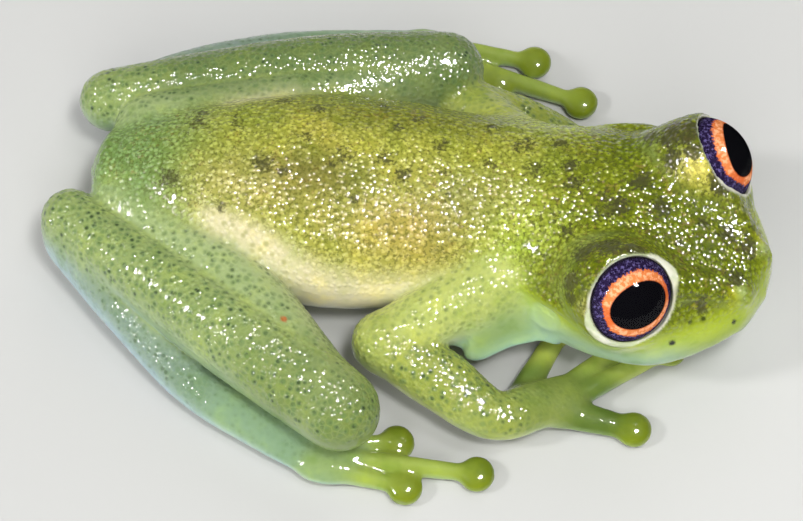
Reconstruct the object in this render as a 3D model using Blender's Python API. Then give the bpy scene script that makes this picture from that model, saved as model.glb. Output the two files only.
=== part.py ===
"""A still, life-size model of a small glass frog at rest, in named solids.

The frog sits flat on its belly with its legs folded and its head turned a little to
its right. Named sizes are in millimetres and become metres when a mesh is made.
X runs forward, Y to the frog's left, Z up, and the floor is at Z = 0.
"""

import math

import bmesh
import bpy
import numpy as np
from mathutils import Matrix, Vector

# Driving dimensions
MM = 0.001
GAP = 0.3
FLOOR = 0.0
BOX_CENTRE = (-0.08, -0.5, 0.0)
SNOUT_VENT = 38.1
NECK = 25.0
HEAD_TURN = -13.5
EYE_RADIUS = 2.45
EYE_LOOKS_UP = 35.0
EYE_LOOKS_FORWARD = 54.0
LID_THICKNESS = 0.45
DISC_WIDTH = 2.05
WEB_HALF_THICKNESS = 0.7
TOE_HALF_WIDTHS = (0.55, 0.55, 0.55, 0.58, 0.55)
FINGER_HALF_WIDTHS = (0.7, 0.6, 0.6, 0.78)
THIGH_SINK = 1.5
BODY_AROUND = 26
LIMB_AROUND = 14
PALM_AROUND = 12
TOE_AROUND = 8
SIDES = (("right", -1), ("left", 1))

# The spine seen from above, by distance from the vent. It is straight past the neck.
SPINE_AT = (0.0, 7.4, 13.9, 19.4, NECK)
SPINE_X = (-18.0, -10.6, -4.1, 1.4, 7.0)
SPINE_Y = (-0.7, -0.3, 0.2, 0.95, 1.45)

# Trunk and head sections, by distance from the vent:
# half width, underside, level of the widest point, back, squareness.
SECTIONS = (
    (0.00, 0.10, 3.30, 3.60, 3.90, 2.0),
    (0.40, 1.70, 1.90, 3.60, 5.10, 2.0),
    (1.60, 3.10, 0.95, 3.40, 5.90, 2.0),
    (4.00, 4.20, 0.25, 3.40, 6.80, 2.1),
    (8.00, 5.40, -0.12, 3.60, 7.70, 2.2),
    (12.5, 6.25, -0.16, 3.60, 8.10, 2.2),
    (17.0, 6.05, -0.10, 3.70, 8.15, 2.2),
    (21.0, 5.45, 0.20, 3.80, 8.15, 2.2),
    (24.5, 5.45, 0.80, 3.90, 8.30, 2.2),
    (28.0, 6.45, 1.30, 3.70, 8.60, 2.3),
    (31.5, 6.60, 1.75, 3.80, 8.60, 2.4),
    (34.2, 5.85, 2.10, 3.90, 8.00, 2.3),
    (35.3, 5.05, 2.25, 3.98, 7.65, 2.2),
    (36.3, 4.02, 2.48, 4.10, 7.20, 2.1),
    (37.2, 2.85, 2.85, 4.30, 6.65, 2.0),
    (37.8, 1.65, 3.40, 4.50, 5.95, 2.0),
    (38.1, 0.10, 4.50, 4.80, 5.10, 2.0),
)

# Head features, by distance from the vent
EYE_AT = {"right": 31.95, "left": 32.75}
EYE_SIDE = {"right": 4.92, "left": 5.05}
EYE_HEIGHT = {"right": 7.7, "left": 7.6}
LID_OPENING = 0.66
LID_SETBACK = 0.5
BROW_BEHIND = 2.3
BROW_INWARD = 0.75
BROW_DROP = 0.75
BROW_RADIUS = 1.85
NOSTRIL_AT = 37.05
NOSTRIL_SIDE = 1.25
NOSTRIL_HEIGHT = 6.4
NOSTRIL_KNOB = 0.62
NOSTRIL_PIT = 0.3
EARDRUM_AT = 28.0
EARDRUM_HEIGHT = 4.9
EARDRUM_RADIUS = 1.0
MOUTH_FRAME_AT = 32.0
MOUTH_CORNER_AT = 28.3
MOUTH_CORNER_HEIGHT = 2.95
MOUTH_MIDDLE_HEIGHT = 2.85
MOUTH_TIP_HEIGHT = 3.95

# Limb joints on each side: forward, out from the midline, height
HIP = {"right": (-15.2, 2.5, 3.5), "left": (-15.2, 2.7, 3.5)}
KNEE = {"right": (-1.35, 12.75, 3.8), "left": (-0.3, 9.9, 3.8)}
HEEL = {"right": (-18.3, 3.9, 3.5), "left": (-18.2, 4.3, 3.4)}
ANKLE = {"right": (-9.2, 11.6, 1.2), "left": (-9.6, 10.9, 1.2)}
WEB_EDGE = {"right": (-1.8, 13.5, 0.75), "left": (-1.8, 12.4, 0.75)}
SHOULDER = {"right": (5.4, 3.6, 4.7), "left": (5.9, 4.4, 4.7)}
ELBOW = {"right": (0.0, 7.7, 3.0), "left": (1.4, 8.2, 3.0)}
WRIST = {"right": (7.0, 10.1, 1.7), "left": (7.2, 7.7, 1.7)}
PALM_END = {"right": (9.9, 7.9, 0.85), "left": (10.0, 6.1, 0.85)}

# Discs at the ends of the toes and fingers, innermost first: forward, out
TOE_TIPS = {
    "right": ((-3.4, 10.2), (-1.2, 10.8), (1.7, 12.2), (6.3, 13.2), (2.7, 14.8)),
    "left": ((-3.6, 9.6), (-1.2, 9.9), (2.4, 11.7), (7.3, 11.6), (4.2, 13.8)),
}
FINGER_TIPS = {
    "right": ((9.0, 3.3), (12.8, 3.3), (15.0, 3.4), (14.05, 8.75)),
    "left": ((9.6, 1.5), (12.6, 2.1), (14.9, 3.6), (13.8, 6.6)),
}

SKIN_DORSAL = (0.36, 0.48, 0.06)
SKIN_LIMB = (0.32, 0.50, 0.16)
SKIN_HEAD = (0.36, 0.52, 0.07)
SKIN_THROAT = (0.52, 0.70, 0.36)
SKIN_DIGIT = (0.45, 0.56, 0.12)
IRIS_ORANGE = (0.72, 0.17, 0.05)
EARDRUM_GREEN = (0.42, 0.58, 0.20)


def clear_scene():
    for old in list(bpy.data.objects):
        bpy.data.objects.remove(old, do_unlink=True)


def skin_material(name, colour, roughness):
    material = bpy.data.materials.new(name)
    material.use_nodes = True
    shader = material.node_tree.nodes["Principled BSDF"]
    shader.inputs["Base Color"].default_value = (*colour, 1.0)
    shader.inputs["Roughness"].default_value = roughness
    shader.inputs["Metallic"].default_value = 0.0
    return material


def smooth(at, knots, values):
    """Cubic curve through the values, read at the given places."""
    knots = np.asarray(knots, float)
    values = np.asarray(values, float)
    slopes = np.gradient(values, knots, axis=0)
    at = np.clip(np.atleast_1d(np.asarray(at, float)), knots[0], knots[-1])
    i = np.clip(np.searchsorted(knots, at, side="right") - 1, 0, len(knots) - 2)
    width = knots[i + 1] - knots[i]
    t = (at - knots[i]) / width
    if values.ndim > 1:
        width = width[:, None]
        t = t[:, None]
    return (
        (2 * t**3 - 3 * t**2 + 1) * values[i]
        + (t**3 - 2 * t**2 + t) * width * slopes[i]
        + (3 * t**2 - 2 * t**3) * values[i + 1]
        + (t**3 - t**2) * width * slopes[i + 1]
    )


def spine_at(s):
    """Place on the spine and the direction forward there, seen from above."""
    turn = math.radians(HEAD_TURN)
    ahead = Vector((math.cos(turn), math.sin(turn)))
    if s >= NECK:
        return Vector((SPINE_X[-1], SPINE_Y[-1])) + (s - NECK) * ahead, ahead
    place = Vector((smooth(s, SPINE_AT, SPINE_X)[0], smooth(s, SPINE_AT, SPINE_Y)[0]))
    step = 0.4
    before = max(0.0, s - step)
    after = min(NECK, s + step)
    direction = Vector(
        (
            smooth(after, SPINE_AT, SPINE_X)[0] - smooth(before, SPINE_AT, SPINE_X)[0],
            smooth(after, SPINE_AT, SPINE_Y)[0] - smooth(before, SPINE_AT, SPINE_Y)[0],
        )
    ).normalized()
    share = min(1.0, max(0.0, (s - SPINE_AT[-2]) / (NECK - SPINE_AT[-2])))
    return place, direction.lerp(ahead, share).normalized()


def on_body(s, left, height):
    """A point beside the spine: distance from the vent, to the left, height."""
    place, ahead = spine_at(s)
    side = Vector((-ahead.y, ahead.x))
    flat = place + float(left) * side
    return Vector((flat.x, flat.y, height))


def body_section(s, grow):
    """The ring of points round trunk or head at a distance from the vent."""
    knots = [row[0] for row in SECTIONS]
    wide, low, side, top, square = smooth(s, knots, [row[1:] for row in SECTIONS])[0]
    ring = []
    for k in range(BODY_AROUND):
        angle = 2 * math.pi * k / BODY_AROUND
        across = math.copysign(abs(math.cos(angle)) ** (2 / square), math.cos(angle))
        rise = math.copysign(abs(math.sin(angle)) ** (2 / square), math.sin(angle))
        reach = top - side if rise > 0 else side - low
        height = side + rise * (reach + grow)
        if not grow:
            height = max(FLOOR, height)
        ring.append(on_body(s, -across * max(0.1, wide + grow), height))
    return ring


def close_rings(name, rings, tips=(None, None)):
    """A closed body through the rings, with a flat end or a point at each end."""
    mesh = bmesh.new()
    rows = [[mesh.verts.new(point * MM) for point in ring] for ring in rings]
    around = len(rows[0])
    for first, second in zip(rows, rows[1:]):
        for k in range(around):
            after = (k + 1) % around
            mesh.faces.new((first[k], first[after], second[after], second[k]))
    for row, tip in zip((rows[0], rows[-1]), tips):
        if tip is None:
            mesh.faces.new(row)
            continue
        point = mesh.verts.new(tip * MM)
        for k in range(around):
            mesh.faces.new((row[k], row[(k + 1) % around], point))
    bmesh.ops.triangulate(mesh, faces=mesh.faces)
    bmesh.ops.recalc_face_normals(mesh, faces=mesh.faces)
    return object_from(name, mesh)


def object_from(name, mesh):
    if mesh.calc_volume(signed=True) < 0:
        bmesh.ops.reverse_faces(mesh, faces=mesh.faces)
    data = bpy.data.meshes.new(name)
    mesh.to_mesh(data)
    mesh.free()
    made = bpy.data.objects.new(name, data)
    bpy.context.scene.collection.objects.link(made)
    return made


def body_length(name, start, end, rings, grow=0.0):
    """Trunk or head between two distances from the vent, closer rings at the ends."""
    share = np.linspace(0.0, 1.0, rings)
    if start <= 0:
        share = share**1.5
    if end >= SNOUT_VENT:
        share = 1 - (1 - share) ** 1.4
    places = (start + (end - start) * share).tolist()
    made = [body_section(s, grow) for s in places]
    tips = [None, None]
    if start <= 0:
        tips[0] = on_body(0.0, 0.0, SECTIONS[0][3]) + Vector((-grow - 0.05, 0, 0))
    if end >= SNOUT_VENT:
        tips[1] = on_body(SNOUT_VENT + grow + 0.05, 0.0, SECTIONS[-1][3])
    return close_rings(name, made, tips)


def limb(name, points, half_widths, half_heights, rings, around, grow=0.0):
    """A round-ended limb along a smooth path, with its width and height at each point."""
    points = np.asarray(points, float)
    steps = np.linalg.norm(np.diff(points, axis=0), axis=1)
    knots = np.concatenate([[0.0], np.cumsum(steps)])
    at = np.linspace(0.0, knots[-1], rings)
    centres = smooth(at, knots, points)
    wide = smooth(at, knots, half_widths) + grow
    high = smooth(at, knots, half_heights) + grow
    ahead = np.gradient(centres, axis=0)
    ahead /= np.linalg.norm(ahead, axis=1)[:, None]
    stations = []
    cap_angles = (66.0, 33.0)
    for angle in cap_angles:
        angle = math.radians(angle)
        back = centres[0] - ahead[0] * wide[0] * math.sin(angle)
        stations.append((back, ahead[0], wide[0] * math.cos(angle), high[0] * math.cos(angle)))
    stations += [(centres[i], ahead[i], wide[i], high[i]) for i in range(rings)]
    for angle in reversed(cap_angles):
        angle = math.radians(angle)
        front = centres[-1] + ahead[-1] * wide[-1] * math.sin(angle)
        stations.append(
            (front, ahead[-1], wide[-1] * math.cos(angle), high[-1] * math.cos(angle))
        )
    made = []
    for centre, direction, half_width, half_height in stations:
        side = np.cross((0.0, 0.0, 1.0), direction)
        side /= np.linalg.norm(side)
        up = np.cross(direction, side)
        ring = []
        for k in range(around):
            angle = 2 * math.pi * (k + 0.5) / around
            point = centre + side * half_width * math.cos(angle)
            point = point + up * half_height * math.sin(angle)
            if not grow:
                point[2] = max(FLOOR, point[2])
            ring.append(Vector(point))
        made.append(ring)
    tips = (
        Vector(centres[0] - ahead[0] * wide[0]),
        Vector(centres[-1] + ahead[-1] * wide[-1]),
    )
    return close_rings(name, made, tips)


def ball(name, centre, radius, segments=20, rings=12, turn=None, squash=(1, 1, 1)):
    mesh = bmesh.new()
    bmesh.ops.create_uvsphere(
        mesh, u_segments=segments, v_segments=rings, radius=radius * MM
    )
    place = Matrix.Translation(Vector(centre) * MM)
    if turn is not None:
        place = place @ turn.to_matrix().to_4x4()
    bmesh.ops.transform(
        mesh, matrix=place @ Matrix.Diagonal((*squash, 1)), verts=mesh.verts
    )
    bmesh.ops.triangulate(mesh, faces=mesh.faces)
    return object_from(name, mesh)


def prism(name, outline, half_depth, place):
    """A flat outline in X and Z, thickened along Y and put in place."""
    mesh = bmesh.new()
    corners = [mesh.verts.new((x * MM, -half_depth * MM, z * MM)) for x, z in outline]
    face = mesh.faces.new(corners)
    pushed = bmesh.ops.extrude_face_region(mesh, geom=[face])["geom"]
    moved = [v for v in pushed if isinstance(v, bmesh.types.BMVert)]
    bmesh.ops.translate(mesh, verts=moved, vec=(0, 2 * half_depth * MM, 0))
    bmesh.ops.transform(mesh, matrix=place, verts=mesh.verts)
    bmesh.ops.triangulate(mesh, faces=mesh.faces)
    bmesh.ops.recalc_face_normals(mesh, faces=mesh.faces)
    return object_from(name, mesh)


def keep_largest(mesh):
    """Leaves only the largest closed surface of the mesh."""
    islands = []
    unseen = set(mesh.faces)
    while unseen:
        island = [unseen.pop()]
        for face in island:
            for edge in face.edges:
                joined = [other for other in edge.link_faces if other in unseen]
                unseen.difference_update(joined)
                island.extend(joined)
        islands.append(island)

    def volume(island):
        return sum(
            face.verts[0].co.dot(face.verts[1].co.cross(face.verts[2].co))
            for face in island
        )

    best = max(islands, key=volume)
    scraps = [face for island in islands if island is not best for face in island]
    bmesh.ops.delete(mesh, geom=scraps, context="FACES")


def boolean(target, tools, operation):
    """Joins the tools to the target, or cuts them from it, and removes them."""
    for tool in tools:
        change = target.modifiers.new(operation.lower(), "BOOLEAN")
        change.operation = operation
        change.solver = "EXACT"
        change.object = tool
    graph = bpy.context.evaluated_depsgraph_get()
    made = bpy.data.meshes.new_from_object(target.evaluated_get(graph))
    target.modifiers.clear()
    target.data = made
    for tool in tools:
        bpy.data.objects.remove(tool, do_unlink=True)
    mesh = bmesh.new()
    mesh.from_mesh(made)
    bmesh.ops.triangulate(mesh, faces=mesh.faces)
    bmesh.ops.remove_doubles(mesh, verts=mesh.verts, dist=0.002 * MM)
    bmesh.ops.dissolve_degenerate(mesh, edges=mesh.edges, dist=0.002 * MM)
    bmesh.ops.triangulate(mesh, faces=mesh.faces)
    keep_largest(mesh)
    mesh.to_mesh(made)
    mesh.free()


def finish_node(made, material, nodes):
    """Gives a piece its material, and moves it so that the origin is under the middle."""
    made.data.transform(Matrix.Translation(-Vector(BOX_CENTRE) * MM))
    made.data.materials.clear()
    made.data.materials.append(material)
    made.data.shade_smooth()
    made.data.set_sharp_from_angle(angle=math.radians(40))
    nodes.objects.link(made)
    bpy.context.scene.collection.objects.unlink(made)


# The head frame: forward, left and up, where the spine is straight
def head_place(s, left, height):
    turn = Matrix.Rotation(math.radians(HEAD_TURN), 4, "Z")
    return Matrix.Translation(on_body(s, left, height) * MM) @ turn


def eye_centre(side):
    word = "right" if side < 0 else "left"
    return on_body(EYE_AT[word], side * EYE_SIDE[word], EYE_HEIGHT[word])


def brow(name, side):
    """The low swelling of the skull behind an eye."""
    word = "right" if side < 0 else "left"
    left = side * (EYE_SIDE[word] - BROW_INWARD)
    centre = on_body(EYE_AT[word] - BROW_BEHIND, left, EYE_HEIGHT[word] - BROW_DROP)
    return ball(name, centre, BROW_RADIUS, segments=14, rings=9)


def eye_axis(side):
    up = math.radians(EYE_LOOKS_UP)
    forward = math.radians(EYE_LOOKS_FORWARD)
    look = Vector(
        (
            math.cos(up) * math.sin(forward),
            side * math.cos(up) * math.cos(forward),
            math.sin(up),
        )
    )
    return Matrix.Rotation(math.radians(HEAD_TURN), 3, "Z") @ look


def mouth_region(name, grow):
    """Everything below the line of the mouth and ahead of its corner."""
    corner = MOUTH_CORNER_AT - MOUTH_FRAME_AT
    tip = SNOUT_VENT - MOUTH_FRAME_AT
    outline = (
        (corner - grow, -4.0),
        (corner - grow, MOUTH_CORNER_HEIGHT + grow),
        (corner / 2 + tip / 2, MOUTH_MIDDLE_HEIGHT + grow),
        (tip, MOUTH_TIP_HEIGHT + grow),
        (tip + 3.0, MOUTH_TIP_HEIGHT + grow),
        (tip + 3.0, -4.0),
    )
    return prism(name, outline, 12.0, head_place(MOUTH_FRAME_AT, 0.0, 0.0))


def eardrum_centre(side):
    knots = [row[0] for row in SECTIONS]
    wide, _, level, top, square = smooth(EARDRUM_AT, knots, [row[1:] for row in SECTIONS])[0]
    rise = (EARDRUM_HEIGHT - level) / (top - level)
    across = (1 - rise**square) ** (1 / square)
    return on_body(EARDRUM_AT, side * (wide * across - 0.22), EARDRUM_HEIGHT)


def eardrum(name, side, grow):
    tilt = Vector((0.05, side * 0.93, 0.36)).to_track_quat("Z", "Y")
    turn = Matrix.Rotation(math.radians(HEAD_TURN), 3, "Z").to_quaternion() @ tilt
    return ball(
        name,
        eardrum_centre(side),
        EARDRUM_RADIUS + grow,
        segments=14,
        rings=8,
        turn=turn,
        squash=(1, 1, (0.36 + grow) / (EARDRUM_RADIUS + grow)),
    )


def lid_mound(name, side):
    """The bulge of skin that the eyeball sits in, cut back to the lid's opening."""
    centre = eye_centre(side)
    axis = eye_axis(side)
    radius = EYE_RADIUS + GAP + LID_THICKNESS
    mound = ball(name, centre - LID_SETBACK * axis, radius, segments=20, rings=12)
    beyond = bmesh.new()
    bmesh.ops.create_cube(beyond, size=10 * MM)
    away = centre + axis * (LID_OPENING + 5.0)
    turn = axis.to_track_quat("Z", "Y").to_matrix().to_4x4()
    bmesh.ops.transform(
        beyond, matrix=Matrix.Translation(away * MM) @ turn, verts=beyond.verts
    )
    bmesh.ops.triangulate(beyond, faces=beyond.faces)
    boolean(mound, [object_from(name + "_opening", beyond)], "DIFFERENCE")
    return mound


def make_head(nodes, skin, throat):
    whole = body_length("head", NECK + GAP / 2, SNOUT_VENT, 17)
    jaw = body_length("lower_jaw", NECK + GAP / 2, SNOUT_VENT, 17)
    mounds = [lid_mound("mound_" + word, side) for word, side in SIDES]
    for word, side in SIDES:
        mounds.append(brow("brow_" + word, side))
        centre = on_body(NOSTRIL_AT, side * NOSTRIL_SIDE, NOSTRIL_HEIGHT - 0.3)
        mounds.append(ball("nose_" + word, centre, NOSTRIL_KNOB, segments=10, rings=7))
    boolean(whole, mounds, "UNION")
    cuts = [mouth_region("mouth", GAP)]
    for word, side in SIDES:
        cuts.append(ball("socket_" + word, eye_centre(side), EYE_RADIUS + GAP, 20, 12))
        cuts.append(eardrum("ear_seat_" + word, side, GAP))
        pit = on_body(NOSTRIL_AT + 0.2, side * (NOSTRIL_SIDE + 0.2), NOSTRIL_HEIGHT + 0.25)
        cuts.append(ball("nostril_" + word, pit, NOSTRIL_PIT, segments=8, rings=6))
    boolean(whole, cuts, "DIFFERENCE")
    boolean(jaw, [mouth_region("mouth", 0.0)], "INTERSECT")
    finish_node(whole, skin, nodes)
    finish_node(jaw, throat, nodes)


def make_eyes(nodes, iris, drum):
    for word, side in SIDES:
        turn = eye_axis(side).to_track_quat("Z", "Y")
        eye = ball("eye_" + word, eye_centre(side), EYE_RADIUS, 20, 12, turn)
        finish_node(eye, iris, nodes)
        finish_node(eardrum("eardrum_" + word, side, 0.0), drum, nodes)


def out(point, side):
    """A limb point given outwards from the midline, put on its side of the frog."""
    return (point[0], side * point[1], point[2])


def between(first, second, share, lift=0.0, outward=0.0):
    """A point part of the way along, raised and pushed outwards."""
    mixed = [a + (b - a) * share for a, b in zip(first, second)]
    return (mixed[0], mixed[1] + outward, mixed[2] + lift)


def limb_shapes(word):
    """Path, half widths and half heights of each limb piece of one side."""
    hip, knee, heel = HIP[word], KNEE[word], HEEL[word]
    ankle, web = ANKLE[word], WEB_EDGE[word]
    shoulder, elbow = SHOULDER[word], ELBOW[word]
    wrist, palm = WRIST[word], PALM_END[word]
    under_heel = (heel[0] + 0.1, heel[1] + 0.7, 2.3)
    return {
        "thigh": (
            (hip, between(hip, knee, 0.45, outward=-0.6), between(hip, knee, 0.96)),
            (2.3, 2.5, 2.0),
            (2.3, 2.6, 2.0),
        ),
        "shank": (
            (
                knee,
                between(knee, heel, 0.35, lift=0.3, outward=0.1),
                between(knee, heel, 0.7, lift=0.2, outward=0.1),
                heel,
            ),
            (2.25, 2.35, 2.05, 1.7),
            (2.1, 2.4, 2.2, 1.8),
        ),
        "tarsus": (
            (under_heel, between(under_heel, ankle, 0.5, lift=0.15, outward=0.35), ankle),
            (1.45, 1.35, 1.3),
            (1.7, 1.55, 1.2),
        ),
        "foot": (
            (ankle, between(ankle, web, 0.5, outward=0.35), web),
            (1.3, 1.45, 2.1),
            (1.15, 1.0, WEB_HALF_THICKNESS),
        ),
        "upper_arm": (
            (shoulder, between(shoulder, elbow, 0.5), elbow),
            (1.8, 1.8, 1.65),
            (1.8, 1.7, 1.5),
        ),
        "forearm": (
            (elbow, between(elbow, wrist, 0.45, outward=0.1), wrist),
            (1.6, 1.75, 1.4),
            (1.5, 1.55, 1.15),
        ),
        "hand": (
            (wrist, between(wrist, palm, 0.55), palm),
            (1.4, 1.4, 1.4),
            (1.15, 1.0, WEB_HALF_THICKNESS),
        ),
    }


def make_limb(word, side, piece, grow=0.0):
    path, wide, high = limb_shapes(word)[piece]
    path = [out(point, side) for point in path]
    flat = piece in ("foot", "hand")
    around = PALM_AROUND if flat else LIMB_AROUND
    rings = 9 if piece in ("thigh", "shank") else 6
    return limb(f"{piece}_{word}", path, wide, high, rings, around, grow)


def digit_path(root, tip, side):
    """From inside the palm or foot to the middle of the disc, low over the floor."""
    neck = between(root, (*tip, 0.0), 0.62)
    disc = (*tip, 0.42)
    return [
        out(root, side),
        out((neck[0], neck[1], 0.55), side),
        out(between((neck[0], neck[1], 0.5), disc, 0.55), side),
        out(disc, side),
    ]


def make_digit(name, root, tip, side, slim, grow=0.0):
    half = DISC_WIDTH / 2
    wide = (slim, slim * 0.92, slim, half)
    high = (0.62, 0.56, 0.52, 0.46)
    path = digit_path(root, tip, side)
    return limb(name, path, wide, high, 6, TOE_AROUND, grow)


def digit_roots(before, centre, tips, spread, setback):
    """Roots side by side across the end of the palm or foot, the inner ones further back."""
    ahead = Vector((centre[0] - before[0], centre[1] - before[1])).normalized()
    across = Vector((-ahead.y, ahead.x))
    middle = (len(tips) - 1) / 2
    roots = []
    for k in range(len(tips)):
        inward = max(0.0, middle - k)
        root = Vector(centre[:2]) + across * (k - middle) * spread
        root = root - ahead * (inward * setback + 0.3)
        roots.append((root.x, root.y, 0.65))
    return roots


def body_room(sink=0.0):
    """Trunk and head grown by the gap, to cut the limbs back to the skin.

    With a sink, it's the trunk's core, so that a limb reaches that far into the trunk.
    """
    if sink:
        return body_length("body_core", THIGH_SINK, NECK, 16, -sink)
    return body_length("body_room", 0.0, SNOUT_VENT, 26, GAP)


def make_torso():
    """The trunk, with a bed on each side where the thigh presses into the flank."""
    torso = body_length("torso", 0.0, NECK - GAP / 2, 20)
    beds = []
    for word, side in SIDES:
        bed = make_limb(word, side, "thigh", GAP)
        boolean(bed, [body_room(THIGH_SINK + GAP)], "DIFFERENCE")
        beds.append(bed)
    boolean(torso, beds, "DIFFERENCE")
    return torso


def cut_limb(word, side, piece, neighbours):
    """A limb piece cut clear of the pieces that it meets."""
    made = make_limb(word, side, piece)
    rooms = [make_limb(word, side, other, GAP) for other in neighbours]
    rooms.append(body_room(THIGH_SINK if piece == "thigh" else 0.0))
    boolean(made, rooms, "DIFFERENCE")
    return made


LIMB_PIECES = (
    ("shank", ()),
    ("thigh", ("shank",)),
    ("tarsus", ("shank",)),
    ("foot", ("tarsus", "shank")),
    ("upper_arm", ("shank",)),
    ("forearm", ("upper_arm", "shank")),
    ("hand", ("forearm",)),
)


def make_digits(word, side, kind, carrier, roots, tips, slim, nodes, skin):
    for k, tip in enumerate(tips):
        digit = make_digit(f"{kind}_{word}_{k + 1}", roots[k], tip, side, slim[k])
        room = [make_limb(word, side, carrier, GAP)]
        for n in range(k):
            room.append(make_digit("near", roots[n], tips[n], side, slim[n], GAP))
        boolean(digit, room, "DIFFERENCE")
        finish_node(digit, skin, nodes)


def make_limbs(nodes, limb_skin, digit_skin):
    for word, side in SIDES:
        for piece, neighbours in LIMB_PIECES:
            finish_node(cut_limb(word, side, piece, neighbours), limb_skin, nodes)
        tips = TOE_TIPS[word]
        roots = digit_roots(ANKLE[word], WEB_EDGE[word], tips, 0.62, 0.5)
        half = TOE_HALF_WIDTHS
        make_digits(word, side, "toe", "foot", roots, tips, half, nodes, digit_skin)
        tips = FINGER_TIPS[word]
        roots = digit_roots(WRIST[word], PALM_END[word], tips, 0.42, 1.5)
        half = FINGER_HALF_WIDTHS
        make_digits(word, side, "finger", "hand", roots, tips, half, nodes, digit_skin)


def build():
    clear_scene()
    nodes = bpy.data.collections.new("glass_frog")
    bpy.context.scene.collection.children.link(nodes)
    back = skin_material("back_skin", SKIN_DORSAL, 0.35)
    face = skin_material("face_skin", SKIN_HEAD, 0.35)
    throat = skin_material("throat_skin", SKIN_THROAT, 0.3)
    legs = skin_material("limb_skin", SKIN_LIMB, 0.3)
    digits = skin_material("digit_skin", SKIN_DIGIT, 0.28)
    iris = skin_material("iris", IRIS_ORANGE, 0.08)
    drum = skin_material("eardrum_skin", EARDRUM_GREEN, 0.3)
    finish_node(make_torso(), back, nodes)
    make_head(nodes, face, throat)
    make_eyes(nodes, iris, drum)
    make_limbs(nodes, legs, digits)


build()
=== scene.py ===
"""The looks of a still, life-size glass frog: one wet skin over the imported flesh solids, and its eyes.

Sizes are in millimetres until a mesh is made. X runs forward, Y to the frog's left, Z up.
"""

import math

import bpy
import numpy as np
import openvdb as vdb
from mathutils import Matrix, Vector


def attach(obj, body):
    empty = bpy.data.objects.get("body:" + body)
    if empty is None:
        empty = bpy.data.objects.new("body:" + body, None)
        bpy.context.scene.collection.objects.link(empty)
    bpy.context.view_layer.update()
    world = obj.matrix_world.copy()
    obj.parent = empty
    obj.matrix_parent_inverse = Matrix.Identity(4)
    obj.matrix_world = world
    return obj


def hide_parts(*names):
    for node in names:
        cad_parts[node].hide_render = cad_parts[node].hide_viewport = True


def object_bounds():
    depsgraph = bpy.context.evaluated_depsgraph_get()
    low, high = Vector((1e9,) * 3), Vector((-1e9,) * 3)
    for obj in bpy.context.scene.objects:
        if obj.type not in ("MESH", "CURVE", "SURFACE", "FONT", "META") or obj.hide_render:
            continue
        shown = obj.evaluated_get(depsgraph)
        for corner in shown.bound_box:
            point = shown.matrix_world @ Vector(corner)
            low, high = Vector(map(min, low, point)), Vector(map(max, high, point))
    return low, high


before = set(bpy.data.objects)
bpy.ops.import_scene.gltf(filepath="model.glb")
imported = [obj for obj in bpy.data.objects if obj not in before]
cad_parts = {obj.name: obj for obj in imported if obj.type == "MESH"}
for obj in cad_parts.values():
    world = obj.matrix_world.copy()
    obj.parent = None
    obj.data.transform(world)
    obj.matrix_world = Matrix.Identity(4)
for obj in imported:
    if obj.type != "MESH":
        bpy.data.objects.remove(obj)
cad_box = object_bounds()

# Trunk and head: soft flesh in one length from vent to snout, lofted through oval sections along
# a spine that bends at the neck, as the head turns a little to the frog's right. The sizes are
# the solids' own, and the last step moves everything over the middle of the box.
MM = 0.001
TO_BOX_CENTRE = np.array((0.08, 0.5, 0.0))
SNOUT_VENT = 38.1
NECK = 25.0
HEAD_TURN = math.radians(-13.5)
SPINE_AT = (0.0, 7.4, 13.9, 19.4, NECK)
SPINE_PLACES = ((-18.0, -0.7), (-10.6, -0.3), (-4.1, 0.2), (1.4, 0.95), (7.0, 1.45))
# Distance from the vent, half width, underside, widest level, back, squareness
SECTIONS = np.array(
    (
        (0.00, 0.10, 3.30, 3.60, 3.90, 2.0),
        (0.40, 1.70, 1.90, 3.60, 5.10, 2.0),
        (1.60, 3.10, 0.95, 3.40, 5.90, 2.0),
        (4.00, 4.20, 0.25, 3.40, 6.80, 2.1),
        (8.00, 5.40, -0.12, 3.60, 7.70, 2.2),
        (12.5, 6.25, -0.16, 3.60, 8.10, 2.2),
        (17.0, 6.05, -0.10, 3.70, 8.15, 2.2),
        (21.0, 5.45, 0.20, 3.80, 8.15, 2.2),
        (24.5, 5.45, 0.80, 3.90, 8.30, 2.2),
        (28.0, 6.45, 1.30, 3.70, 8.60, 2.3),
        (31.5, 6.60, 1.75, 3.80, 8.60, 2.4),
        (34.2, 5.85, 2.10, 3.90, 8.00, 2.3),
        (35.3, 5.05, 2.25, 3.98, 7.65, 2.2),
        (36.3, 4.02, 2.48, 4.10, 7.20, 2.1),
        (37.2, 2.85, 2.85, 4.30, 6.65, 2.0),
        (37.8, 1.65, 3.40, 4.50, 5.95, 2.0),
        (38.1, 0.10, 4.50, 4.80, 5.10, 2.0),
    )
)
BODY_RINGS = 150
BODY_AROUND = 72
SPINE_STEP = 0.4
END_POINT = 0.05


def flow(at, knots, values):
    """A cubic curve through the values, read at the given places."""
    knots = np.asarray(knots, float)
    values = np.asarray(values, float)
    slopes = np.gradient(values, knots, axis=0)
    at = np.clip(np.atleast_1d(np.asarray(at, float)), knots[0], knots[-1])
    i = np.clip(np.searchsorted(knots, at, side="right") - 1, 0, len(knots) - 2)
    width = knots[i + 1] - knots[i]
    t = (at - knots[i]) / width
    if values.ndim > 1:
        width = width[:, None]
        t = t[:, None]
    return (
        (2 * t**3 - 3 * t**2 + 1) * values[i]
        + (t**3 - 2 * t**2 + t) * width * slopes[i]
        + (3 * t**2 - 2 * t**3) * values[i + 1]
        + (t**3 - t**2) * width * slopes[i + 1]
    )


def unit(vectors):
    length = np.linalg.norm(vectors, axis=-1, keepdims=True)
    return vectors / np.maximum(length, 1e-9)


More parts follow.
